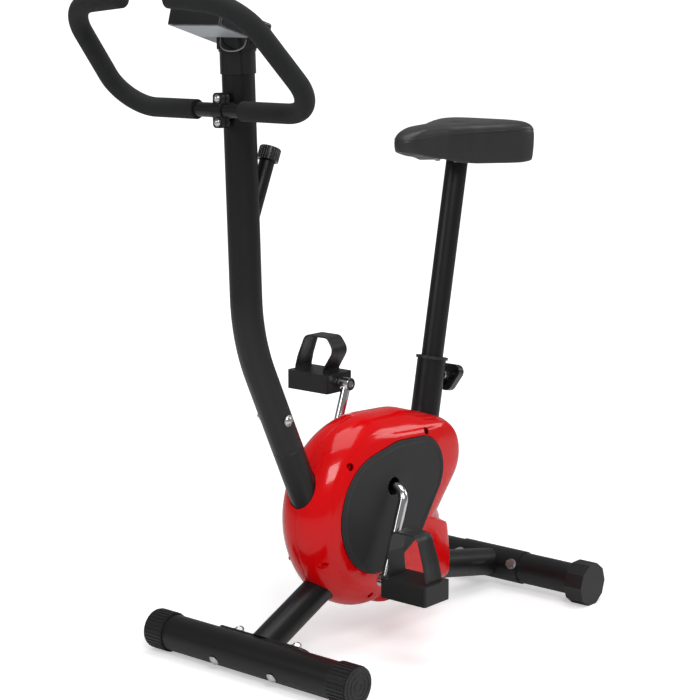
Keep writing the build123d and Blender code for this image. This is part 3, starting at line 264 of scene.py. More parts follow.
class GroupMaker:
    """Builds each shared effect once, as a shader node group."""

    def __init__(self) -> None:
        """Build all the groups."""
        self.trees = {
            Group.GRAIN: self.grain(),
            Group.WEAR: self.wear(),
            Group.DUST: self.dust(),
            Group.CLOUD: self.cloud(),
        }

    @staticmethod
    def empty(kind: Group, inputs: dict[str, float], outputs: list[str]) -> tuple:
        """Start a group.

        Args:
            kind: which effect it is.
            inputs: names and default values of its float inputs.
            outputs: names of its float outputs.

        Returns:
            The tree, its input node and its output node.
        """
        tree = bpy.data.node_groups.new(kind.value, "ShaderNodeTree")
        for name, value in inputs.items():
            socket = tree.interface.new_socket(name, in_out="INPUT", socket_type="NodeSocketFloat")
            socket.default_value = value
        for name in outputs:
            tree.interface.new_socket(name, in_out="OUTPUT", socket_type="NodeSocketFloat")
        return tree, tree.nodes.new("NodeGroupInput"), tree.nodes.new("NodeGroupOutput")

    @staticmethod
    def place(tree: Tree) -> Socket:
        """Add the position that patterns follow, in object space."""
        return tree.nodes.new("ShaderNodeTexCoord").outputs["Object"]

    @staticmethod
    def times(tree: Tree, first: Socket, second: Socket) -> Socket:
        """Multiply two values."""
        product = tree.nodes.new("ShaderNodeMath")
        product.operation = "MULTIPLY"
        tree.links.new(first, product.inputs[0])
        tree.links.new(second, product.inputs[1])
        return product.outputs["Value"]

    @staticmethod
    def remap(tree: Tree, value: Socket, low: float, high: float) -> Socket:
        """Stretch a range of values to 0 to 1."""
        node = tree.nodes.new("ShaderNodeMapRange")
        fill(node, {"From Min": low, "From Max": high})
        tree.links.new(value, node.inputs["Value"])
        return node.outputs["Result"]

    def noise(self, tree: Tree, scale: float, detail: float) -> Socket:
        """Add a noise over the object."""
        node = tree.nodes.new("ShaderNodeTexNoise")
        fill(node, {"Scale": scale, "Detail": detail})
        tree.links.new(self.place(tree), node.inputs["Vector"])
        return node.outputs["Fac"]

    def grain(self) -> Tree:
        """Cells mixed with noise: the moulded or leathery surface of a part."""
        tree, entry, leave = self.empty(Group.GRAIN, {"Scale": 900.0, "Cells": 0.5}, ["Height"])
        noise = tree.nodes.new("ShaderNodeTexNoise")
        noise.inputs["Detail"].default_value = 3.0
        cells = tree.nodes.new("ShaderNodeTexVoronoi")
        cells.feature = "DISTANCE_TO_EDGE"
        place = self.place(tree)
        mix = tree.nodes.new("ShaderNodeMix")
        for node in (noise, cells):
            tree.links.new(place, node.inputs["Vector"])
            tree.links.new(entry.outputs["Scale"], node.inputs["Scale"])
        tree.links.new(entry.outputs["Cells"], mix.inputs["Factor"])
        tree.links.new(noise.outputs["Fac"], mix.inputs["A"])
        tree.links.new(cells.outputs["Distance"], mix.inputs["B"])
        tree.links.new(mix.outputs["Result"], leave.inputs["Height"])
        return tree

    def wear(self) -> Tree:
        """A mask that is 1 on rubbed edges and 0 elsewhere."""
        tree, entry, leave = self.empty(Group.WEAR, {"Radius": 0.0012, "Amount": 0.5}, ["Mask"])
        round_normal = tree.nodes.new("ShaderNodeBevel")
        round_normal.samples = 4
        plain = tree.nodes.new("ShaderNodeNewGeometry")
        dot = tree.nodes.new("ShaderNodeVectorMath")
        dot.operation = "DOT_PRODUCT"
        tree.links.new(entry.outputs["Radius"], round_normal.inputs["Radius"])
        tree.links.new(round_normal.outputs["Normal"], dot.inputs[0])
        tree.links.new(plain.outputs["Normal"], dot.inputs[1])
        edges = self.remap(tree, dot.outputs["Value"], 0.995, 0.93)
        patches = self.remap(tree, self.noise(tree, 260.0, 4.0), 0.45, 0.62)
        rubbed = self.times(tree, edges, patches)
        tree.links.new(self.times(tree, rubbed, entry.outputs["Amount"]), leave.inputs["Mask"])
        return tree

    def dust(self) -> Tree:
        """A mask of dust on surfaces that face up."""
        tree, entry, leave = self.empty(Group.DUST, {"Amount": 0.1}, ["Mask"])
        plain = tree.nodes.new("ShaderNodeNewGeometry")
        split = tree.nodes.new("ShaderNodeSeparateXYZ")
        tree.links.new(plain.outputs["Normal"], split.inputs["Vector"])
        facing = self.remap(tree, split.outputs["Z"], 0.3, 1.0)
        settled = self.times(tree, facing, self.noise(tree, 35.0, 6.0))
        tree.links.new(self.times(tree, settled, entry.outputs["Amount"]), leave.inputs["Mask"])
        return tree

    def cloud(self) -> Tree:
        """A value that drifts a little round a middle, for uneven gloss."""
        inputs = {"Middle": 0.4, "Spread": 0.1, "Scale": 14.0}
        tree, entry, leave = self.empty(Group.CLOUD, inputs, ["Value"])
        noise = tree.nodes.new("ShaderNodeTexNoise")
        noise.inputs["Detail"].default_value = 5.0
        centred = tree.nodes.new("ShaderNodeMath")
        centred.operation = "SUBTRACT"
        centred.inputs[1].default_value = 0.5
        scaled = tree.nodes.new("ShaderNodeMath")
        scaled.operation = "MULTIPLY_ADD"
        tree.links.new(self.place(tree), noise.inputs["Vector"])
        tree.links.new(entry.outputs["Scale"], noise.inputs["Scale"])
        tree.links.new(noise.outputs["Fac"], centred.inputs[0])
        tree.links.new(centred.outputs["Value"], scaled.inputs[0])
        tree.links.new(entry.outputs["Spread"], scaled.inputs[1])
        tree.links.new(entry.outputs["Middle"], scaled.inputs[2])
        tree.links.new(scaled.outputs["Value"], leave.inputs["Value"])
        return tree


# ---- finishes -----------------------------------------------------------------------------------


DUST_COLOR, WHITE = (0.42, 0.4, 0.38), (1.0, 1.0, 1.0, 1.0)


@dataclass(frozen=True)
class Finish:
    """One finish: its colours, its gloss and its fine surface."""

    name: str
    color: Color
    roughness: float
    spread: float = 0.08
    metallic: float = 0.0
    grain_scale: float = 900.0
    grain_cells: float = 0.3
    bump: float = 0.1
    depth: float = 0.0002
    wear_color: Color | None = None
    wear: float = 0.0
    dust: float = 0.05
    coat: float = 0.0
    coat_roughness: float = 0.05
    specular: float = 0.5
    sheen: float = 0.0
    tint: Color | None = None
    transmission: float = 0.0

    def material(self, groups: GroupMaker) -> bpy.types.Material:
        """Build the material.

        Args:
            groups: the shared effects.

        Returns:
            The new material.
        """
        made = bpy.data.materials.new(self.name)
        made.use_nodes = True
        tree = made.node_tree
        shader = tree.nodes["Principled BSDF"]
        fill(shader, {
            "Metallic": self.metallic, "Coat Weight": self.coat, "Coat Roughness": self.coat_roughness,
            "Specular IOR Level": self.specular, "Sheen Weight": self.sheen,
            "Transmission Weight": self.transmission,
        })

        def use(kind: Group, **values: float) -> bpy.types.ShaderNodeGroup:
            """Place a shared effect with its own values."""
            node = tree.nodes.new("ShaderNodeGroup")
            node.node_tree = groups.trees[kind]
            fill(node, values)
            return node

        def blend(base: Socket, color: Color, mask: Socket) -> Socket:
            """Mix a colour over another by a mask."""
            mix = tree.nodes.new("ShaderNodeMix")
            mix.data_type = "RGBA"
            tree.links.new(mask, mix.inputs["Factor"])
            tree.links.new(base, mix.inputs["A"])
            mix.inputs["B"].default_value = (*color, 1.0)
            return mix.outputs["Result"]

        cloud = use(Group.CLOUD, Middle=self.roughness, Spread=self.spread)
        tree.links.new(cloud.outputs["Value"], shader.inputs["Roughness"])
        shift = use(Group.CLOUD, Middle=0.5, Spread=1.0, Scale=9.0)
        start = tree.nodes.new("ShaderNodeMix")
        start.data_type = "RGBA"
        start.inputs["A"].default_value = (*self.color, 1.0)
        second = self.tint or tuple(min(1.0, channel * 1.12 + 0.001) for channel in self.color)
        start.inputs["B"].default_value = (*second, 1.0)
        tree.links.new(shift.outputs["Value"], start.inputs["Factor"])
        color = start.outputs["Result"]
        if self.wear_color is not None:
            rubbed = use(Group.WEAR, Amount=self.wear)
            color = blend(color, self.wear_color, rubbed.outputs["Mask"])
        if self.dust:
            settled = use(Group.DUST, Amount=self.dust)
            color = blend(color, DUST_COLOR, settled.outputs["Mask"])
        tree.links.new(color, shader.inputs["Base Color"])
        if self.bump:
            grain = use(Group.GRAIN, Scale=self.grain_scale, Cells=self.grain_cells)
            bump = tree.nodes.new("ShaderNodeBump")
            fill(bump, {"Strength": self.bump, "Distance": self.depth})
            tree.links.new(grain.outputs["Height"], bump.inputs["Height"])
            tree.links.new(bump.outputs["Normal"], shader.inputs["Normal"])
        return made


GREY_METAL = (0.45, 0.44, 0.43)
FINISHES = {
    "frame_paint": Finish(
        "satin black powder coat", (0.006, 0.006, 0.0065), 0.36, 0.1, grain_scale=1500.0, grain_cells=0.1,
        bump=0.22, depth=0.00025, wear_color=GREY_METAL, wear=0.12, dust=0.01, specular=0.32,
    ),
    "post_paint": Finish(
        "satin black post paint", (0.006, 0.006, 0.0065), 0.30, grain_scale=1500.0, grain_cells=0.1,
        bump=0.16, wear_color=GREY_METAL, wear=0.1, dust=0.01, specular=0.35,
    ),
    "cover_red": Finish(
        "glossy red moulding", (0.66, 0.0008, 0.002), 0.18, 0.05, grain_scale=120.0, grain_cells=0.0,
        bump=0.03, depth=0.0004, wear_color=(0.7, 0.06, 0.06), wear=0.08, dust=0.002, coat=0.3,
        specular=0.16, tint=(0.7, 0.001, 0.003),
    ),
    "plate_black": Finish(
        "matte black plate", (0.02, 0.02, 0.021), 0.52, 0.07, grain_scale=1900.0, grain_cells=0.4,
        bump=0.35, wear_color=(0.09, 0.09, 0.09), wear=0.25, dust=0.01, specular=0.32,
    ),
    "cap_black": Finish(
        "moulded black plastic", (0.009, 0.009, 0.0095), 0.42, 0.1, grain_scale=1300.0, grain_cells=0.4,
        bump=0.25, wear_color=(0.08, 0.08, 0.08), wear=0.3, dust=0.015, specular=0.34,
    ),
    "pan_plastic": Finish(
        "saddle pan plastic", (0.016, 0.016, 0.017), 0.5, grain_scale=1100.0, grain_cells=0.5, bump=0.25,
        dust=0.02,
    ),
    "chrome_bar": Finish(
        "polished chrome", (0.66, 0.66, 0.68), 0.1, 0.05, metallic=1.0, grain_scale=60.0, grain_cells=0.0,
        bump=0.02, depth=0.0003, dust=0.0,
    ),
    "zinc": Finish(
        "zinc plated steel", (0.62, 0.62, 0.63), 0.3, 0.14, metallic=1.0, grain_scale=700.0,
        grain_cells=0.1, bump=0.12, dust=0.02, tint=(0.5, 0.5, 0.49),
    ),
    "foam": Finish(
        "dark foam grip", (0.013, 0.0135, 0.014), 0.88, 0.06, grain_scale=1500.0, grain_cells=0.55,
        bump=0.9, depth=0.0005, dust=0.015, sheen=0.05, specular=0.22, tint=(0.019, 0.0195, 0.0205),
    ),
    "vinyl": Finish(
        "saddle vinyl", (0.018, 0.018, 0.019), 0.4, 0.1, grain_scale=620.0, grain_cells=0.75, bump=0.35,
        depth=0.0004, dust=0.012, specular=0.42, tint=(0.026, 0.026, 0.027),
    ),
    "strap_rubber": Finish(
        "strap rubber", (0.008, 0.008, 0.0085), 0.45, 0.1, grain_cells=0.2, bump=0.15,
        wear_color=(0.06, 0.06, 0.06), wear=0.2, dust=0.03,
    ),
    "knob_black": Finish(
        "semi-gloss black plastic", (0.012, 0.012, 0.013), 0.24, grain_cells=0.1, bump=0.06,
        wear_color=(0.1, 0.1, 0.1), wear=0.3, dust=0.02, coat=0.2,
    ),
    "console_black": Finish(
        "glossy console plastic", (0.010, 0.010, 0.011), 0.22, 0.06, grain_scale=1700.0, bump=0.06,
        wear_color=(0.08, 0.08, 0.08), wear=0.15, dust=0.01, specular=0.4, coat=0.2,
    ),
    "console_grey": Finish(
        "silver grey plastic", (0.36, 0.38, 0.41), 0.36, grain_scale=1700.0, bump=0.15, dust=0.02,
        tint=(0.4, 0.42, 0.45),
    ),
    "lens_clear": Finish(
        "clear lens", (0.85, 0.9, 0.9), 0.06, 0.03, grain_scale=80.0, bump=0.0, dust=0.0, transmission=0.92,
    ),
    "display_grey": Finish(
        "display film", (0.25, 0.29, 0.25), 0.3, 0.05, grain_scale=400.0, grain_cells=0.0, bump=0.04,
        dust=0.0, tint=(0.28, 0.32, 0.27),
    ),
    "button_grey": Finish(
        "soft button", (0.22, 0.22, 0.24), 0.6, 0.06, grain_scale=1200.0, bump=0.2, dust=0.03,
    ),
    "wire_grey": Finish(
        "grey cable jacket", (0.2, 0.2, 0.21), 0.45, 0.06, grain_scale=800.0, grain_cells=0.0, bump=0.08,
        dust=0.0,
    ),
    "iron": Finish(
        "cast iron", (0.1, 0.1, 0.105), 0.5, 0.15, metallic=0.9, grain_scale=300.0, grain_cells=0.4,
        bump=0.3, dust=0.04,
    ),
    "steel": Finish(
        "machined steel", (0.5, 0.5, 0.5), 0.32, 0.1, metallic=1.0, grain_scale=500.0, dust=0.02,
    ),
    "pulley_plastic": Finish("pulley plastic", (0.03, 0.03, 0.03), 0.5, bump=0.2),
    "belt_rubber": Finish("belt rubber", (0.015, 0.015, 0.015), 0.7, bump=0.3),
    "band_felt": Finish(
        "felt lined band", (0.2, 0.18, 0.15), 0.9, 0.05, grain_cells=0.6, bump=0.6, sheen=0.3,
    ),
    "bush_plastic": Finish(
        "bush plastic", (0.014, 0.014, 0.015), 0.4, grain_scale=1300.0, bump=0.2,
        wear_color=(0.08, 0.08, 0.08), wear=0.3, dust=0.02,
    ),
}


class Paintbox:
    """Holds one material for each slot of the record."""

    def __init__(self, record: dict) -> None:
        """Build the materials and note each node's slot."""
        groups = GroupMaker()
        self.materials = {slot: finish.material(groups) for slot, finish in FINISHES.items()}
        self.slots = {entry["node"]: entry["material_slot"] for entry in record["subparts"]}

    def paint(self, obj: Thing, slot: str) -> None:
        """Give an object one finish all over."""
        obj.data.materials.clear()
        obj.data.materials.append(self.materials[slot])

    def piece(self, obj: Thing, slot: str, body: str, *nodes: str) -> None:
        """Paint a new piece, let it ride on a body and hide the nodes it stands for.

        Args:
            obj: the new piece.
            slot: the record's material slot.
            body: the body that it rides on.
            nodes: the CAD nodes that it replaces.
        """
        self.paint(obj, slot)
        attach(obj, body)
        if nodes:
            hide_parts(*nodes)
        LOG.info("piece %s on %s", obj.name, body)


# ---- studio -------------------------------------------------------------------------------------


@dataclass
class Studio:
    """The camera, the lights and the white floor, whose sweep gives x and z of its section in metres."""

    eye: Vector = field(default_factory=lambda: mm(2327.5, 1946.6, 1053.4))
    yaw: float = -140.154
    pitch: float = -10.409
    roll: float = -0.16
    lens: float = 96.64
    sensor: float = 36.0
    sweep: tuple = (
        (9.0, 0.0), (-5.0, 0.0), (-6.5, 0.12), (-7.8, 0.6), (-8.6, 1.5), (-9.0, 3.0), (-9.0, 9.0),
    )
    lamps: tuple = (
        ("key", (1.9, 2.3, 2.9), (0.0, 0.0, 0.45), 66.0, 1.4),
        ("front", (3.2, -0.9, 1.9), (0.0, 0.0, 0.5), 20.0, 1.2),
        ("top", (-0.3, 0.3, 3.6), (0.0, 0.0, 0.3), 58.0, 2.4),
        ("rim", (-2.6, 1.6, 1.8), (-0.1, 0.0, 0.6), 18.0, 1.2),
    )

    def camera(self) -> None:
        """Place the camera."""
        data = bpy.data.cameras.new("camera")
        data.lens = self.lens
        data.sensor_width = self.sensor
        data.clip_end = 60.0
        obj = bpy.data.objects.new("camera", data)
        bpy.context.scene.collection.objects.link(obj)
        yaw, pitch = math.radians(self.yaw), math.radians(self.pitch)
        ahead = Vector((math.cos(pitch) * math.cos(yaw), math.cos(pitch) * math.sin(yaw), math.sin(pitch)))
        obj.rotation_mode = "QUATERNION"
        spin = Matrix.Rotation(math.radians(self.roll), 4, ahead).to_quaternion()
        obj.rotation_quaternion = spin @ ahead.to_track_quat("-Z", "Y")
        obj.location = self.eye
        bpy.context.scene.camera = obj

    def lamp(self, name: str, place: tuple, aim: tuple, power: float, size: float) -> None:
        """Add a square soft light that points at a place."""
        data = bpy.data.lights.new(name, "AREA")
        data.energy = power
        data.size = size
        obj = bpy.data.objects.new(name, data)
        bpy.context.scene.collection.objects.link(obj)
        obj.location = Vector(place)
        obj.rotation_euler = (Vector(aim) - Vector(place)).to_track_quat("-Z", "Y").to_euler()

    def floor(self) -> None:
        """Add the floor, which curves up into a backdrop far behind."""
        rows = []
        for x, z in self.sweep:
            rows.append([Vector((x, y, z)) for y in (-12.0, -4.0, 4.0, 12.0)])
        obj = mesh_of("floor", *skin(rows, False, False, False), angle=80.0)
        obj.matrix_world = Matrix.Rotation(math.radians(self.yaw + 180.0), 4, "Z")
        obj.data.materials.append(self.floor_paint())

    @staticmethod
    def floor_paint() -> bpy.types.Material:
        """White that keeps soft shadows near the bike and glows to plain white far from it."""
        made = bpy.data.materials.new("white floor")
        made.use_nodes = True
        tree = made.node_tree
        shader = tree.nodes["Principled BSDF"]
        fill(shader, {
            "Base Color": (0.88, 0.88, 0.885, 1.0), "Roughness": 0.3, "Specular IOR Level": 0.4,
            "Emission Color": WHITE,
        })
        place = tree.nodes.new("ShaderNodeTexCoord")
        distance = tree.nodes.new("ShaderNodeVectorMath")
        distance.operation = "LENGTH"
        fade = tree.nodes.new("ShaderNodeMapRange")
        fill(fade, {"From Min": 0.7, "From Max": 2.6, "To Min": 0.42, "To Max": 0.9})
        light_path = tree.nodes.new("ShaderNodeLightPath")
        seen = tree.nodes.new("ShaderNodeMath")
        seen.operation = "MULTIPLY"
        tree.links.new(place.outputs["Object"], distance.inputs[0])
        tree.links.new(distance.outputs["Value"], fade.inputs["Value"])
        tree.links.new(fade.outputs["Result"], seen.inputs[0])
        tree.links.new(light_path.outputs["Is Camera Ray"], seen.inputs[1])
        tree.links.new(seen.outputs["Value"], shader.inputs["Emission Strength"])
        return made

    @staticmethod
    def air() -> bpy.types.World:
        """A dim surround for light and reflections, seen directly as white."""
        world = bpy.data.worlds.new("studio air")
        world.use_nodes = True
        tree = world.node_tree
        surround = tree.nodes["Background"]
        fill(surround, {"Color": WHITE, "Strength": 0.24})
        white = tree.nodes.new("ShaderNodeBackground")
        light_path = tree.nodes.new("ShaderNodeLightPath")
        mix = tree.nodes.new("ShaderNodeMixShader")
        fill(white, {"Color": WHITE})
        tree.links.new(light_path.outputs["Is Camera Ray"], mix.inputs["Fac"])
        tree.links.new(surround.outputs["Background"], mix.inputs[1])
        tree.links.new(white.outputs["Background"], mix.inputs[2])
        tree.links.new(mix.outputs["Shader"], tree.nodes["World Output"].inputs["Surface"])
        return world

    def build(self) -> None:
        """Build the whole studio."""
        self.camera()
        self.floor()
        for lamp in self.lamps:
            self.lamp(*lamp)
        bpy.context.scene.world = self.air()
        bpy.context.scene.view_settings.view_transform = "Standard"


# ---- cover --------------------------------------------------------------------------------------


def circle_hull(circles: tuple[tuple[float, float, float], ...]) -> list[tuple[float, float]]:
    """The corners of the outline round some circles, each x, z and radius."""
    points = sorted(
        (x + r * math.cos(turn), z + r * math.sin(turn))
        for x, z, r in circles
        for turn in (2 * math.pi * k / 96 for k in range(96))
    )

    def half(source: list[tuple[float, float]]) -> list[tuple[float, float]]:
        """One side of the hull."""
        chain: list[tuple[float, float]] = []
        for point in source:
            while len(chain) > 1:
                (ax, az), (bx, bz) = chain[-2], chain[-1]
                if (bx - ax) * (point[1] - az) - (bz - az) * (point[0] - ax) > 0:
                    break
                chain.pop()
            chain.append(point)
        return chain[:-1]

    return half(points) + half(points[::-1])


def reach(outline: list[tuple[float, float]], centre: tuple[float, float], turn: float) -> float:
    """How far a ray from a centre goes before it leaves an outline for good."""
    dx, dz = math.cos(turn), math.sin(turn)
    best = 0.0
    for (ax, az), (bx, bz) in zip(outline, outline[1:] + outline[:1]):
        ex, ez = bx - ax, bz - az
        det = dx * -ez + dz * ex
        if abs(det) < 1e-9:
            continue
        ox, oz = ax - centre[0], az - centre[1]
        along = (ox * -ez + oz * ex) / det
        share = (dx * oz - dz * ox) / det
        if -1e-6 <= share <= 1 + 1e-6 and along > best:
            best = along
    return best


def on_circle(centre: tuple[float, float], radius: float, turn: float, y: float) -> Vector:
    """A point, in metres, on a circle round a centre in the XZ plane."""
    return mm(centre[0] + radius * math.cos(turn), y, centre[1] + radius * math.sin(turn))


@dataclass
class Cover:
    """The two-piece red housing with its black side plates."""

    paint: Paintbox
    centre: tuple[float, float] = (-80.0, 215.0)
    rays: int = 240
    crown_body: tuple = ((-33.0, 222.0, 164.0), (-100.0, 270.0, 113.0), (-194.0, 292.0, 66.0))
    crown_tail: tuple = ((-224, 74, 20), (-224, 105, 20), (-206, 162, 26), (-120, 150, 20), (-75, 72, 20))
    shoulder_body: tuple = ((-27.0, 226.0, 135.0), (-184.0, 290.0, 60.0))
    shoulder_tail: tuple = ((-210, 84, 10), (-210, 108, 10), (-198, 160, 14), (-120, 150, 10), (-75, 82, 10))
    plate: tuple = ((-16.0, 228.0, 102.0), (-66.0, 254.0, 87.0), (-121.0, 276.0, 62.0), (-106.0, 187.0, 23.0))
    shoulder_y: float = 50.0
    plate_y: float = 59.0
    recess_y: float = 56.5
    wall: float = 2.4
    tail_blend: float = 26.0
    tunnel_radius: float = 25.9
    screws: tuple = ((104, 160), (58, 318), (-140, 344), (-8, 84))
    screw_radius: float = 6.3
    crown_power: float = 2.3
    plate_edge: tuple = (
        (-0.6, 59.1), (0.0, 59.3), (0.0, 60.6), (-0.5, 61.4), (-1.5, 61.9), (-3.0, 62.0), (-9.0, 62.0),
        (-9.8, 61.7), (-10.6, 61.4), (-12.0, 61.4),
    )
    plate_collar: tuple = ((21.0, 61.4), (19.6, 61.9), (16.4, 61.9), (15.4, 61.2), (15.0, 59.2))

    def outlines(self) -> None:
        """Measure the outlines along rays from the centre."""
        self.turns = [2 * math.pi * k / self.rays for k in range(self.rays)]
        plate = circle_hull(self.plate)
        self.plate_r = [reach(plate, self.centre, t) for t in self.turns]
        self.crown_r = self.blended(self.crown_body, self.crown_tail)
        self.shoulder_r = self.blended(self.shoulder_body, self.shoulder_tail)

    def blended(self, body: tuple, tail: tuple) -> list[float]:
        """The reach along each ray of a body's outline that runs softly into a tail's."""
        main_hull, tail_hull = circle_hull(body), circle_hull(tail)
        return [
            smooth_max(reach(main_hull, self.centre, t), reach(tail_hull, self.centre, t), self.tail_blend)
            for t in self.turns
        ]

    def point(self, ray: int, radius: float, y: float, sign: int) -> Vector:
        """A point on a ray of the cover, in metres."""
        return on_circle(self.centre, radius, self.turns[ray % self.rays], sign * y)

    def profile(self, ray: int) -> list[tuple[float, float]]:
        """The cover's section along a ray, as radius and y, from the seam to the plate's recess."""
        crown, shoulder, plate = self.crown_r[ray], self.shoulder_r[ray], self.plate_r[ray]
        out = [(crown - 1.0, 0.12), (crown - 0.25, 0.5), (crown, 1.2)]
        for step in range(1, 12):
            share = step / 12
            out.append((lerp(crown, shoulder, share ** self.crown_power), lerp(1.2, self.shoulder_y, share)))
        before = (lerp(crown, shoulder, 0.92 ** self.crown_power), lerp(1.2, self.shoulder_y, 0.92))
        corner = (shoulder, self.shoulder_y)
        gap = shoulder - plate
        bevel_start = min(7.0, gap * 0.4) / max(gap, 0.1)
        after = (lerp(shoulder, plate, bevel_start), lerp(self.shoulder_y, self.plate_y, bevel_start))
        for step in range(1, 6):
            share = step / 6
            out.append(tuple(
                (1 - share) ** 2 * a + 2 * share * (1 - share) * b + share ** 2 * c
                for a, b, c in zip(before, corner, after)
            ))
        for step in range(0, 5):
            share = lerp(bevel_start, 1.0, step / 5)
            bulge = 1.2 * math.sin(math.pi * share)
            height = lerp(self.shoulder_y, self.plate_y, share) + bulge
            out.append((lerp(shoulder, plate + 1.6, share), height))
        out += [(plate + 1.4, self.plate_y + 0.1), (plate + 0.75, self.plate_y - 0.3)]
        out += [(plate + 0.7, self.recess_y), (plate - 7.0, self.recess_y)]
        return out

    def shell(self, sign: int) -> Thing:
        """One half of the cover, as a thick shell."""
        sections = [self.profile(ray) for ray in range(self.rays)]
        rows = [
            [self.point(ray, *sections[ray][step], sign) for ray in range(self.rays)]
            for step in range(len(sections[0]))
        ]
        name = "cover_shell_left" if sign > 0 else "cover_shell_right"
        obj = mesh_of(name, *skin(rows, True, False, False))
        middle = obj.data.polygons[self.rays * 4]
        outward = middle.normal.x * (middle.center.x + 0.08) + middle.normal.z * (middle.center.z - 0.215)
        if outward < 0:
            obj.data.flip_normals()
        solid = obj.modifiers.new("wall", "SOLIDIFY")
        solid.thickness = self.wall * MM
        solid.offset = -1.0
        solid.use_even_offset = False
        settle(obj)
        return obj

    def surface_y(self, x: float, z: float) -> float:
        """The cover's y on its crowned edge above a point."""
        turn = math.atan2(z - self.centre[1], x - self.centre[0]) % (2 * math.pi)
        radius = math.hypot(x - self.centre[0], z - self.centre[1])
        ray = round(turn / (2 * math.pi) * self.rays) % self.rays
        crown, shoulder = self.crown_r[ray], self.shoulder_r[ray]
        share = max(0.0, min(1.0, (crown - radius) / (crown - shoulder))) ** (1 / self.crown_power)
        return lerp(1.2, self.shoulder_y, share)

    def tunnel(self) -> list[Thing]:
        """Shapes that leave room in the cover for the frame's tubes."""
        post = (POST_FOOT, POST_JOINT, POST_ABOVE)
        routes = ((FRONT_FOOT, TUBE_APEX, REAR_FOOT), post, (SEAT_FOOT, SEAT_TOP))
        paths = [[mm(x, 0, z) for x, z in route] for route in routes]
        paths[0] = rounded_path(paths[0], [APEX_BEND], 16)
        return [tube_mesh("tunnel", path, self.tunnel_radius * MM, 48) for path in paths]

    def cup(self, x: float, z: float, sign: int) -> Thing:
        """A recessed cup for a cover screw, whose rim follows the cover's surface."""
        turns = [2 * math.pi * k / 28 for k in range(28)]
        outer, inner, lowest, floor_y = self.screw_radius, 5.2, 29.0, 35.0
        rows: list[list[Vector]] = []
        for radius, kind in ((outer, "foot"), (outer, "rim"), (inner, "rim"), (inner, "floor")):
            row = []
            for turn in turns:
                px, pz = x + radius * math.cos(turn), z + radius * math.sin(turn)
                y = {"foot": lowest, "floor": floor_y}.get(kind, self.surface_y(px, pz) - 0.15)
                row.append(mm(px, sign * max(y, lowest), pz))
            rows.append(row)
        rows.append([on_circle((x, z), 1.6, turn, sign * floor_y) for turn in turns])
        return mesh_of("cup", *skin(rows, True, False, True))

    def build_half(self, sign: int) -> None:
        """Build one half of the cover with its screw cups."""
        side = "left" if sign > 0 else "right"
        obj = self.shell(sign)
        holes = [
            tube_mesh("hole", [mm(x, sign * 20, z), mm(x, sign * 75, z)], self.screw_radius * MM, 28)
            for x, z in self.screws
        ]
        cut(obj, holes + self.tunnel())
        cups = [self.cup(x, z, sign) for x, z in self.screws]
        work = bmesh.new()
        work.from_mesh(obj.data)
        for cup in cups:
            work.from_mesh(cup.data)
            bpy.data.objects.remove(cup)
        work.to_mesh(obj.data)
        work.free()
        shade(obj.data, 32.0)
        self.paint.piece(obj, "cover_red", "base", f"cover_{side}")

    def build_plate(self, sign: int) -> None:
        """Build one side plate: flat, with a rolled edge, a shallow step and a collar round the crank."""
        side = "left" if sign > 0 else "right"
        rays = range(self.rays)
        rim = self.plate_r
        rows = [[self.point(k, rim[k] + inset, y, sign) for k in rays] for inset, y in self.plate_edge]
        inset, face_y = self.plate_edge[-1]
        collar = self.plate_collar[0][0]
        for share in (0.3, 0.6):
            rows.append([
                self.point(k, rim[k] + inset, face_y, sign).lerp(
                    on_circle(CRANK, collar, self.turns[k], sign * face_y), share
                )
                for k in rays
            ])
        for radius, y in self.plate_collar:
            rows.append([on_circle(CRANK, radius, turn, sign * y) for turn in self.turns])
        rows.append([self.point(k, rim[k] - 2.0, self.plate_edge[0][1], sign) for k in rays])
        obj = mesh_of(f"plate_{side}", *skin(rows, True, True, False), angle=28.0)
        self.paint.piece(obj, "plate_black", "base", f"side_plate_{side}")

    def build(self) -> None:
        """Build both halves and both plates."""
        self.outlines()
        for sign in (1, -1):
            self.build_half(sign)
            self.build_plate(sign)


# ---- saddle -------------------------------------------------------------------------------------


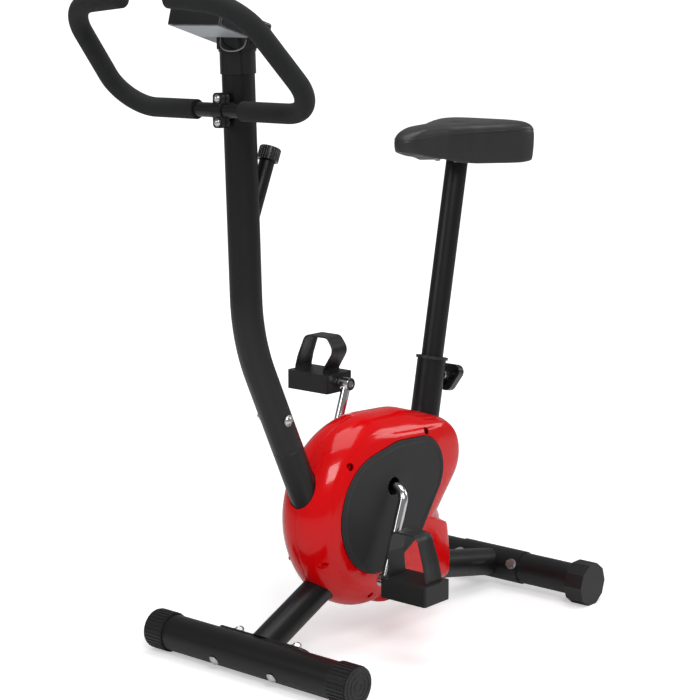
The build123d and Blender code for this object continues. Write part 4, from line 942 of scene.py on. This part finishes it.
@dataclass
class Saddle:
    """The padded seat with its creased sides."""

    paint: Paintbox
    nose_x: float = -126.0
    rear_x: float = -409.0
    points: int = 128
    middle_x: float = -290.0
    widths: tuple = (
        (0.0, 0.0), (0.012, 9.0), (0.04, 17.0), (0.09, 23.5), (0.18, 28.5), (0.32, 36.0), (0.46, 51.0),
        (0.60, 72.0), (0.72, 89.0), (0.82, 98.0), (0.88, 99.5), (0.93, 96.0), (0.97, 84.0), (0.99, 66.0),
        (1.0, 40.0),
    )
    tops: tuple = (
        (0.0, 842.0), (0.08, 849.5), (0.2, 854.5), (0.4, 856.0), (0.7, 857.5), (0.9, 860.0), (1.0, 857.0),
    )
    bottoms: tuple = ((0.0, 812.0), (0.25, 799.0), (0.43, 789.5), (0.52, 787.5), (0.8, 786.5), (1.0, 790.0))
    creases: tuple = ((0.0, 831.0), (0.1, 835.0), (0.3, 839.0), (0.6, 842.0), (0.85, 844.0), (1.0, 840.0))
    levels: tuple = (
        ("bottom", 0.50, 1.2), ("bottom", 0.86, 0.9), ("bottom", 0.955, 0.4), ("bottom", 0.975, 0.0),
        ("side", 0.985, 0.10), ("side", 0.995, 0.35), ("side", 1.0, 0.62), ("side", 1.0, 0.86),
        ("side", 0.994, 0.95), ("side", 0.984, 1.0), ("over", 0.992, 0.06), ("over", 0.985, 0.22),
        ("over", 0.965, 0.44), ("over", 0.93, 0.64), ("over", 0.87, 0.80), ("over", 0.77, 0.905),
        ("over", 0.62, 0.96), ("over", 0.42, 0.985), ("over", 0.2, 0.998), ("over", 0.05, 1.0),
    )

    def share(self, x: float) -> float:
        """How far back a place is, from 0 at the nose to 1 at the rear."""
        return (x - self.nose_x) / (self.rear_x - self.nose_x)

    @staticmethod
    def table(rows: tuple, share: float) -> float:
        """Read a smooth value from a table of shares and values."""
        share = min(max(share, rows[0][0]), rows[-1][0])
        for (a, va), (b, vb) in zip(rows, rows[1:]):
            if a <= share <= b and b > a:
                t = (share - a) / (b - a)
                return lerp(va, vb, t * t * (3 - 2 * t) * 0.5 + t * 0.5)
        return rows[-1][1]

    def outline(self) -> list[tuple[float, float]]:
        """The seat's outline from above, as points of even spacing, x and y in millimetres."""
        half = []
        fine = 400
        for k in range(fine + 1):
            share = 0.5 - 0.5 * math.cos(math.pi * k / fine)
            half.append(Vector((lerp(self.nose_x, self.rear_x, share), self.table(self.widths, share), 0)))
        half.append(Vector((self.rear_x, 0, 0)))
        loop = half + [Vector((p.x, -p.y, 0)) for p in reversed(half[1:-1])] + [half[0]]
        even = even_path(loop, 1.0)
        step = (len(even) - 1) / self.points
        picked = [even[round(k * step)] for k in range(self.points)]
        for _ in range(2):
            after = picked[1:] + picked[:1]
            picked = [(picked[k - 1] + picked[k] * 2 + after[k]) / 4 for k in range(self.points)]
        return [(p.x, p.y) for p in picked]

    def build(self) -> None:
        """Build the pad and its piping along the crease."""
        outline = self.outline()
        rows = []
        for kind, scale, height in self.levels:
            row = []
            for x, y in outline:
                share = self.share(x)
                low, crease = self.table(self.bottoms, share), self.table(self.creases, share)
                spine = lerp(x, self.middle_x, 1.0 - scale)
                sway = 1.0
                if kind == "bottom":
                    z = low + height
                elif kind == "side":
                    z = lerp(low, crease, height)
                else:
                    sway -= 0.35 * (1 - scale)
                    z = lerp(crease, self.table(self.tops, self.share(spine)), height)
                    z -= math.exp(-((share - 0.42) / 0.25) ** 2) * 2.5 * (1 - scale)
                row.append(mm(spine, y * scale * sway, z))
            rows.append(row)
        obj = mesh_of("saddle_pad", *skin(rows, True, False, True), angle=60.0)
        smooth = obj.modifiers.new("smooth", "SUBSURF")
        smooth.levels = smooth.render_levels = 1
        settle(obj)
        shade(obj.data, 60.0)
        self.paint.piece(obj, "vinyl", "seat", "seat_pad")
        self.seam(outline)

    def seam(self, outline: list[tuple[float, float]]) -> None:
        """A sewn ridge along the crease on both sides."""
        path = []
        for x, y in outline + outline[:1]:
            crease = self.table(self.creases, self.share(x))
            path.append(mm(lerp(x, self.middle_x, 0.0125), y * 0.9875, crease + 0.2))
        sides, radius = 8, 1.1 * MM
        rows = []
        for k, point in enumerate(path[:-1]):
            along = (path[(k + 1) % (len(path) - 1)] - path[k - 1 if k else len(path) - 2]).normalized()
            out = along.cross(Vector((0, 0, 1))).normalized()
            up = out.cross(along)
            rows.append([
                point + (out * math.cos(a) + up * math.sin(a)) * radius
                for a in (2 * math.pi * s / sides for s in range(sides))
            ])
        obj = mesh_of("saddle_piping", *skin(rows, True, True, False), angle=60.0)
        self.paint.piece(obj, "vinyl", "seat")


# ---- straps and other added pieces --------------------------------------------------------------


@dataclass
class Strap:
    """A rubber foot strap over a pedal, wide at its ends and narrower on top."""

    paint: Paintbox
    side: str
    rise: float
    base_y: float
    waist: float
    waist_y: float
    top_y: float
    outer_y: float = 185.0
    base_width: float = 43.0
    top_width: float = 37.0
    thickness: float = 3.0

    def corners(self, top: float) -> list[Vector]:
        """The band's line before its corners are rounded, in metres, above a pedal's top."""
        sign = 1 if self.side == "left" else -1
        steps = (
            (self.base_y, 0.0), (self.base_y, 6.0), (self.waist_y, self.rise * self.waist),
            (self.top_y, self.rise), (self.outer_y - 20.0, self.rise),
            (self.outer_y - 5.0, self.rise * 0.4), (self.outer_y, 6.0), (self.outer_y, 0.0),
        )
        return [Vector((0.0, sign * y * MM, top + z * MM)) for y, z in steps]

    def build(self) -> None:
        """Build the band, sunk between two raised edges."""
        low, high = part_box(f"pedal_{self.side}")
        centre_x = (low[0] + high[0]) / 2
        top = high[2] + 0.0001
        bends = [0.010, 0.016, 0.012, 0.014, 0.030, 0.010]
        path = even_path(rounded_path(self.corners(top), bends), 0.0015)
        rows = []
        for k, point in enumerate(path):
            along = (path[min(k + 1, len(path) - 1)] - path[max(k - 1, 0)]).normalized()
            out = Vector((1, 0, 0)).cross(along)
            lift = max(0.0, min(1.0, (point.z - top) / (self.rise * MM)))
            half = lerp(self.base_width, self.top_width, lift ** 1.3) / 2 * MM
            depth = self.thickness / 2 * MM
            edge = 0.9 * MM
            section = (
                (-half + edge, -depth), (half - edge, -depth), (half, -depth + edge), (half, depth - edge),
                (half - edge, depth), (half * 0.62, depth), (half * 0.56, depth - 0.5 * MM),
                (-half * 0.56, depth - 0.5 * MM), (-half * 0.62, depth), (-half + edge, depth),
                (-half, depth - edge), (-half, -depth + edge),
            )
            middle = Vector((centre_x, point.y, point.z))
            rows.append([middle + Vector((1, 0, 0)) * u + out * v for u, v in section])
        obj = mesh_of(f"foot_strap_{self.side}", *skin(rows, True, False, True), angle=40.0)
        self.paint.piece(obj, "strap_rubber", f"pedal_{self.side}", f"strap_{self.side}")


@dataclass
class Trim:
    """Small pieces that dress the CAD nodes."""

    paint: Paintbox

    def lathe(self, name: str, centre: Vector, axis: Vector, profile: tuple, sides: int = 48) -> Thing:
        """Turn a closed section round an axis.

        Args:
            name: the new object's name.
            centre: the section's origin, in metres.
            axis: the direction of the section's heights.
            profile: radius and height pairs, in millimetres.
            sides: how many steps go round.

        Returns:
            The new object.
        """
        axis = axis.normalized()
        out = axis.orthogonal().normalized()
        beside = axis.cross(out)
        rows = []
        for radius, height in profile:
            rows.append([
                centre + axis * height * MM + (out * math.cos(a) + beside * math.sin(a)) * radius * MM
                for a in (2 * math.pi * k / sides for k in range(sides))
            ])
        return mesh_of(name, *skin(rows, True, True, False), angle=40.0)

    def cap_rings(self) -> None:
        """Three raised rings on the faces of each front cap."""
        for sign, side in ((1, "left"), (-1, "right")):
            face = mm(FRONT_FOOT[0], sign * CAP_FACE_Y, FRONT_FOOT[1])
            axis = Vector((0, sign, 0))
            for number, (low, high) in enumerate(((24.0, 26.5), (16.0, 18.0), (7.0, 9.0))):
                left, right = low + 0.5, high - 0.5
                section = ((low, 0.0), (low, 0.9), (left, 1.4), (right, 1.4), (high, 0.9), (high, 0.0))
                obj = self.lathe(f"cap_ring_{side}_{number}", face, axis, section)
                self.paint.piece(obj, "cap_black", "base")

    def knob_stem(self) -> None:
        """The bright neck between the seat knob and its boss."""
        lean = math.radians(SEAT_LEAN)
        back = Vector((-math.cos(lean), 0.0, -math.sin(lean)))
        down = Vector((math.sin(lean), 0.0, -math.cos(lean)))
        start = mm(SEAT_TOP[0], 0.0, SEAT_TOP[1]) + down * KNOB_DOWN * MM
        section = ((6.05, 34.0), (7.4, 34.0), (7.8, 34.6), (7.8, 43.4), (7.4, 44.0), (6.05, 44.0))
        self.paint.piece(self.lathe("knob_stem", start, back, section), "zinc", "seat_knob")

    def crank(self) -> None:
        """The one-piece crank: a bent round bar with an eye at each end."""
        x, z = CRANK
        corners = [
            mm(x + ARM_AHEAD, ARM_Y, z - ARM_DROP), mm(x, ARM_Y, z),
            mm(x, -ARM_Y, z), mm(x - ARM_AHEAD, -ARM_Y, z + ARM_DROP),
        ]
        bar = even_path(rounded_path(corners, [0.023, 0.023], 24), 0.003)
        obj = tube_mesh("crank_bar", bar, 8.0 * MM, 40)
        self.paint.piece(obj, "chrome_bar", "crank", "crank")
        eye = ((6.1, -9.5), (10.4, -9.5), (11.0, -8.9), (11.0, 8.9), (10.4, 9.5), (6.1, 9.5))
        for name, place in (("crank_eye_left", corners[0]), ("crank_eye_right", corners[-1])):
            ring = self.lathe(name, place, Vector((0, 1, 0)), eye)
            self.paint.piece(ring, "chrome_bar", "crank", "crank")

    def build(self) -> None:
        """Build every trim piece."""
        self.cap_rings()
        self.knob_stem()
        self.crank()


# ---- CAD nodes ----------------------------------------------------------------------------------


class Dresser:
    """Gives every CAD node its finish and softens its edges."""

    SOFT_EDGES = {
        "pedal_left": 1.2, "pedal_right": 1.2, "rear_cap_left": 1.4, "rear_cap_right": 1.4,
        "seat_knob": 0.5, "clamp_front": 0.8, "clamp_rear": 0.8, "front_saddle": 0.5, "console_back": 0.6,
        "console_bracket": 0.8, "battery_cover": 0.3, "seat_pan": 1.5, "console_collar": 0.5,
        "rear_sleeve": 0.4, "seat_bush": 0.3,
    }

    def __init__(self, frame: dict, paint: Paintbox) -> None:
        """Keep the frame and the finishes."""
        self.frame = frame
        self.paint = paint

    def build(self) -> None:
        """Dress every node."""
        for name, obj in self.frame["nodes"].items():
            self.paint.paint(obj, self.paint.slots[name])
            if name in self.SOFT_EDGES:
                bevel(obj, self.SOFT_EDGES[name] * MM)
            LOG.info("node %s dressed", name)


def main() -> None:
    """Build the scene in order."""
    logging.basicConfig(level=logging.INFO, format="%(message)s")
    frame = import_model()
    Studio().build()
    paint = Paintbox(frame["record"])
    Dresser(frame, paint).build()
    Cover(paint).build()
    Saddle(paint).build()
    Strap(paint, "left", 76.0, 111.0, 0.55, 107.0, 114.0).build()
    Strap(paint, "right", 62.0, 122.0, 0.65, 100.0, 116.0).build()
    Trim(paint).build()


if __name__ == "__main__":
    main()
